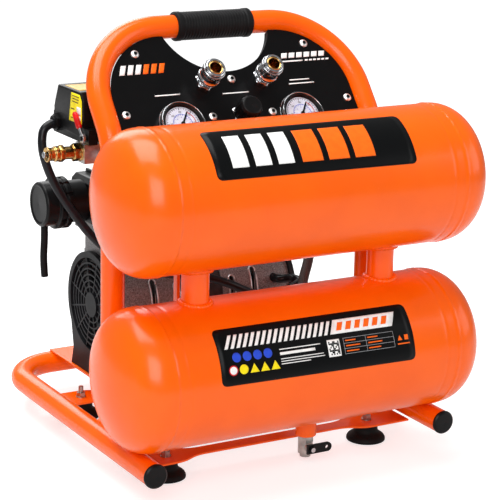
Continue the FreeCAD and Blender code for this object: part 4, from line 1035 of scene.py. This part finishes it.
# ------------------------------------------------------------ side fittings
class COMPRESSOR_OT_fittings(bpy.types.Operator):
    """Pressure switch, safety valve, drain valve, hoses and cables"""
    bl_idname = "compressor.fittings"
    bl_label = "Side fittings"

    def execute(self, context):
        self.switch()
        self.valves()
        self.hoses()
        return {"FINISHED"}

    def switch(self):
        """Switch box with its printed label, plain shapes in place of words."""
        refined("switch_base", "abs", edge=0.6)
        refined("switch_cover", "abs", edge=0)
        refined("switch_glands", "abs", edge=0.4)

        def side(g):
            return np.stack([np.full(g.shape[:-1], SWITCH_SIDE), g[..., 0], g[..., 1]], -1)

        def top(g):
            return np.stack([g[..., 0], g[..., 1], np.full(g.shape[:-1], SWITCH_TOP)], -1)

        label = rounded([(128.2, 313.6), (156.2, 313.6), (151.0, 340.4), (132.4, 340.4), (128.2, 334.6)], 0.8)
        piece("switch_label", film(label, side, 4, 40), "ink_yellow", film_mm=0.1)
        brown = [box_outline(134 + k, 337.2 - 2.6 * k, 15 - k, 1.0) for k in range(3)]
        brown += [box_outline(144, 325, 8, 1.0), box_outline(146, 316.6, 6, 1.0)]
        white = [box_outline(130.6, 321.4, 8.6, 7.4), box_outline(130.6, 314.4, 8.6, 6.2)]
        for name, ink, outlines in (("lines", "ink_brown", brown), ("boxes", "ink_white", white)):
            over = merged([film(o, lambda g: side(g) - (0.1, 0, 0), 2, 12) for o in outlines])
            piece("switch_label_" + name, over, ink, film_mm=0.06)
        patch = rounded([(-145, 140), (-119, 140), (-119, 173), (-145, 173)], 1.0)
        piece("switch_top_label", film(patch, top, 3, 40), "card", film_mm=0.1)
        self.lever()

    def lever(self):
        """Cranked wire lever with a dipped red sleeve, turning on its pin."""
        hub = np.array((-151.0, 120, 303))
        way = np.array((0, 16, 18.5)) / math.hypot(16, 18.5)
        sleeve = rounded([(0, 0), (2.0, 0), (2.9, 1.6), (2.6, 15.5), (1.6, 17.2), (0, 17.4)], 0.6)
        grip = lathe(sleeve, hub + way * 10.5, way, 32, loop=False)
        eye = lathe(rounded([(2.05, -1.6), (4.2, -1.6), (4.2, 1.6), (2.05, 1.6)], 0.4), hub, (1, 0, 0), 40)
        wire = bar(hub + way * 3.2, hub + way * 12, 1.4, 20)
        piece("switch_lever_sleeve", grip, "red", "lever", ("switch_lever",))
        piece("switch_lever_wire", merged([eye, wire]), "steel", "lever")

    def valves(self):
        """Safety valve: a turned body with vent slots and two hexagons; the others keep their shapes."""
        refined("switch_manifold", "cut_edge", edge=0.5)
        y, z = 150, 284
        body = rounded([(0.01, 0), (8.5, 0), (8.5, 1.6), (6, 2.2), (6, 17), (6.2, 21), (7.2, 22.6), (7.2, 26),
                        (6.2, 27), (6.2, 31), (6.9, 32), (6.9, 34), (5.4, 34), (4.6, 33), (3.25, 33),
                        (3.25, 14.2), (0.01, 14.2)], 0.35, 3)

        def vents(r, h, a):
            return -0.8 * ((h > 27.4) & (h < 30.6) & (r > 5)) * (np.cos(6 * a) > 0.5)

        turned = lathe(body, (-140, y, z), (-1, 0, 0), 96, vents, loop=False)
        hexes = [hexagon(15, (-142, y, z), (-148, y, z)), hexagon(14, (-157, y, z), (-162, y, z))]
        piece("safety_valve_turned", merged([turned] + hexes), "brass", replaces=("safety_valve_body",))
        refined("safety_valve_pin", "steel", "relief_pin", edge=0.2)
        refined("check_valve", "brass", edge=0.3)
        refined("drain_valve_body", "zinc", edge=0.3)
        refined("drain_valve_ball", "chrome", "drain_handle", edge=0)
        refined("drain_valve_lever", "abs", "drain_handle", edge=0.4)

    def hoses(self):
        """Motor lead, and the air hose with a crimped ferrule at each end."""
        lead = [(-142, 183, 307), (-161, 183, 307), (-166, 180, 287), (-161, 177, 264), (-150, 176, 241),
                (-134, 174, 217), (-117, 168, 193), (-92, 158, 171), (-60, 149, 158), (-24, 146, 152),
                (6, 145, 145), (41, 144, 128), (62, 141, 117), (79, 134, 128), (96, 134, 134), (95, 150, 135),
                (79, 151, 134), (79, 164, 134)]
        smooth_cable("motor_lead_jacket", lead, LEAD_R, "pvc", "motor_lead")
        braid = [(80, 178.7, 226), (80, 165, 226), (101, 147, 206), (106, 135, 181), (97, 123, 160),
                 (81, 109, 142), (72, 95, 124), (72, 74.3, 124)]
        smooth_cable("discharge_hose_braid", braid, HOSE_R, "braid", "discharge_hose")
        ferrule = rounded([(5.05, 0), (6.0, 0), (6.0, 12), (5.05, 12)], 0.5)
        ends = (((80, 178.6, 226), (0, -1, 0)), ((72, 74.4, 124), (0, 1, 0)))
        crimps = [lathe(ferrule, at, way, 40) for at, way in ends]
        piece("discharge_hose_crimps", merged(crimps), "zinc")
        self.tail()

    def tail(self):
        """Short breather hose that hangs from the filter, on the smooth spline of its route."""
        route = [(-151, PUMP_Y, 201.2), (-151, PUMP_Y, 187), (-152.5, PUMP_Y, 168), (-151, PUMP_Y, 151.2)]
        hose = smooth_line("filter_hose_tail", route, 3.5)
        hose.data.materials.append(FINISH["rubber"])
        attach(hose, FRAME_BODY)
        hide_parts("filter_hose")


# ------------------------------------------------------------ stage
class COMPRESSOR_OT_stage(bpy.types.Operator):
    """Pale floor, soft studio lights and the camera"""
    bl_idname = "compressor.stage"
    bl_label = "Stage"

    def execute(self, context):
        reach, under = 1.7, -0.0002
        corners = [[(x, y, under) for y in (-reach, reach)] for x in (-reach, reach)]
        floor = surface(np.array(corners), wrap_columns=False)
        mesh = bpy.data.meshes.new("floor")
        mesh.from_pydata(floor[0].tolist(), [], [face[::-1] for face in floor[1]])
        # matt studio paper, lit a little from behind so it stays white beside the object's glow
        paper = skin("matt_white_paper", "C0C0C0", (300, 3, 0.0104, 0.0104), Roughness=0.9,
                     Emission_Color=to_linear("FFFFFF"))
        glow = paper.node_tree.nodes["Principled BSDF"].inputs["Emission Strength"]
        self.seen_brighter(paper.node_tree, glow, 0.3, 0.66)
        mesh.materials.append(paper)
        linked("floor", mesh)
        world = bpy.data.worlds.new("studio")
        world.use_nodes = True
        backdrop = world.node_tree.nodes["Background"].inputs
        backdrop["Color"].default_value = to_linear("FFFFFF")
        self.seen_brighter(world.node_tree, backdrop["Strength"], 0.27, 1.1)
        context.scene.world = world
        context.scene.view_settings.view_transform = "Standard"
        self.light("key", (-1.5, -2.1, 1.5), 1.7, 43)
        self.light("top", (-0.5, 0.35, 2.5), 1.9, 66)
        self.light("fill", (2.0, -1.3, 1.0), 1.3, 10)
        self.light("back", (0.3, 2.1, 1.5), 1.4, 22)
        self.camera(context)
        return {"FINISHED"}

    def light(self, name, at, size, power):
        """Square soft box that faces the middle of the object."""
        lamp = bpy.data.lights.new(name, "AREA")
        lamp.size = size
        lamp.energy = power
        obj = linked(name, lamp)
        obj.location = at
        obj.rotation_euler = (Vector((0, 0, 0.2)) - Vector(at)).to_track_quat("-Z", "Y").to_euler()

    def seen_brighter(self, tree, socket, lighting, shown):
        """Sets a strength lower where it lights the object than where it is looked at."""
        looked_at = add_node(tree, "ShaderNodeLightPath").outputs["Is Camera Ray"]
        strength = add_node(tree, "ShaderNodeMapRange", Value=looked_at, To_Min=lighting, To_Max=shown)
        tree.links.new(strength.outputs["Result"], socket)

    def camera(self, context):
        """Camera turned by azimuth about +Z, then down by elevation, then rolled about its line of sight."""
        s = sizes()
        azimuth, elevation, roll = (math.radians(v) for v in s.camera_turn)
        ahead = Vector((-math.sin(azimuth) * math.cos(elevation), math.cos(azimuth) * math.cos(elevation),
                        -math.sin(elevation)))
        right = Vector((math.cos(azimuth), math.sin(azimuth), 0))
        up = right.cross(ahead)
        tilted_right = right * math.cos(roll) + up * math.sin(roll)
        tilted_up = up * math.cos(roll) - right * math.sin(roll)
        view = bpy.data.cameras.new("camera")
        view.lens = s.lens
        view.sensor_width = 36
        camera = linked("camera", view)
        camera.matrix_world = Matrix.Translation(s.camera_place) @ Matrix(
            (tilted_right, tilted_up, -ahead)).transposed().to_4x4()
        context.scene.camera = camera


STEPS = (COMPRESSOR_OT_stage, COMPRESSOR_OT_tanks, COMPRESSOR_OT_tubes, COMPRESSOR_OT_panel,
         COMPRESSOR_OT_labels, COMPRESSOR_OT_pump, COMPRESSOR_OT_fittings)


class COMPRESSOR_PT_parts(bpy.types.Panel):
    """Lists the compressor's parts and its sizes and colours"""
    bl_idname = "COMPRESSOR_PT_parts"
    bl_label = "Air compressor"
    bl_space_type = "VIEW_3D"
    bl_region_type = "UI"
    bl_category = "Compressor"

    def draw(self, context):
        for step in STEPS:
            self.layout.operator(step.bl_idname)
        for group in (context.scene.compressor_sizes, context.scene.compressor_colours):
            for key in group.__annotations__:
                self.layout.prop(group, key)


CLASSES = (CompressorSizes, CompressorColours, *STEPS, COMPRESSOR_PT_parts)


def register():
    for cls in CLASSES:
        bpy.utils.register_class(cls)
    bpy.types.Scene.compressor_sizes = bpy.props.PointerProperty(type=CompressorSizes)
    bpy.types.Scene.compressor_colours = bpy.props.PointerProperty(type=CompressorColours)


def unregister():
    del bpy.types.Scene.compressor_colours
    del bpy.types.Scene.compressor_sizes
    for cls in reversed(CLASSES):
        bpy.utils.unregister_class(cls)


def main():
    register()
    FINISH.update(build_materials())
    for step in STEPS:
        group, call = step.bl_idname.split(".")
        getattr(getattr(bpy.ops, group), call)()


if __name__ == "__main__":
    main()
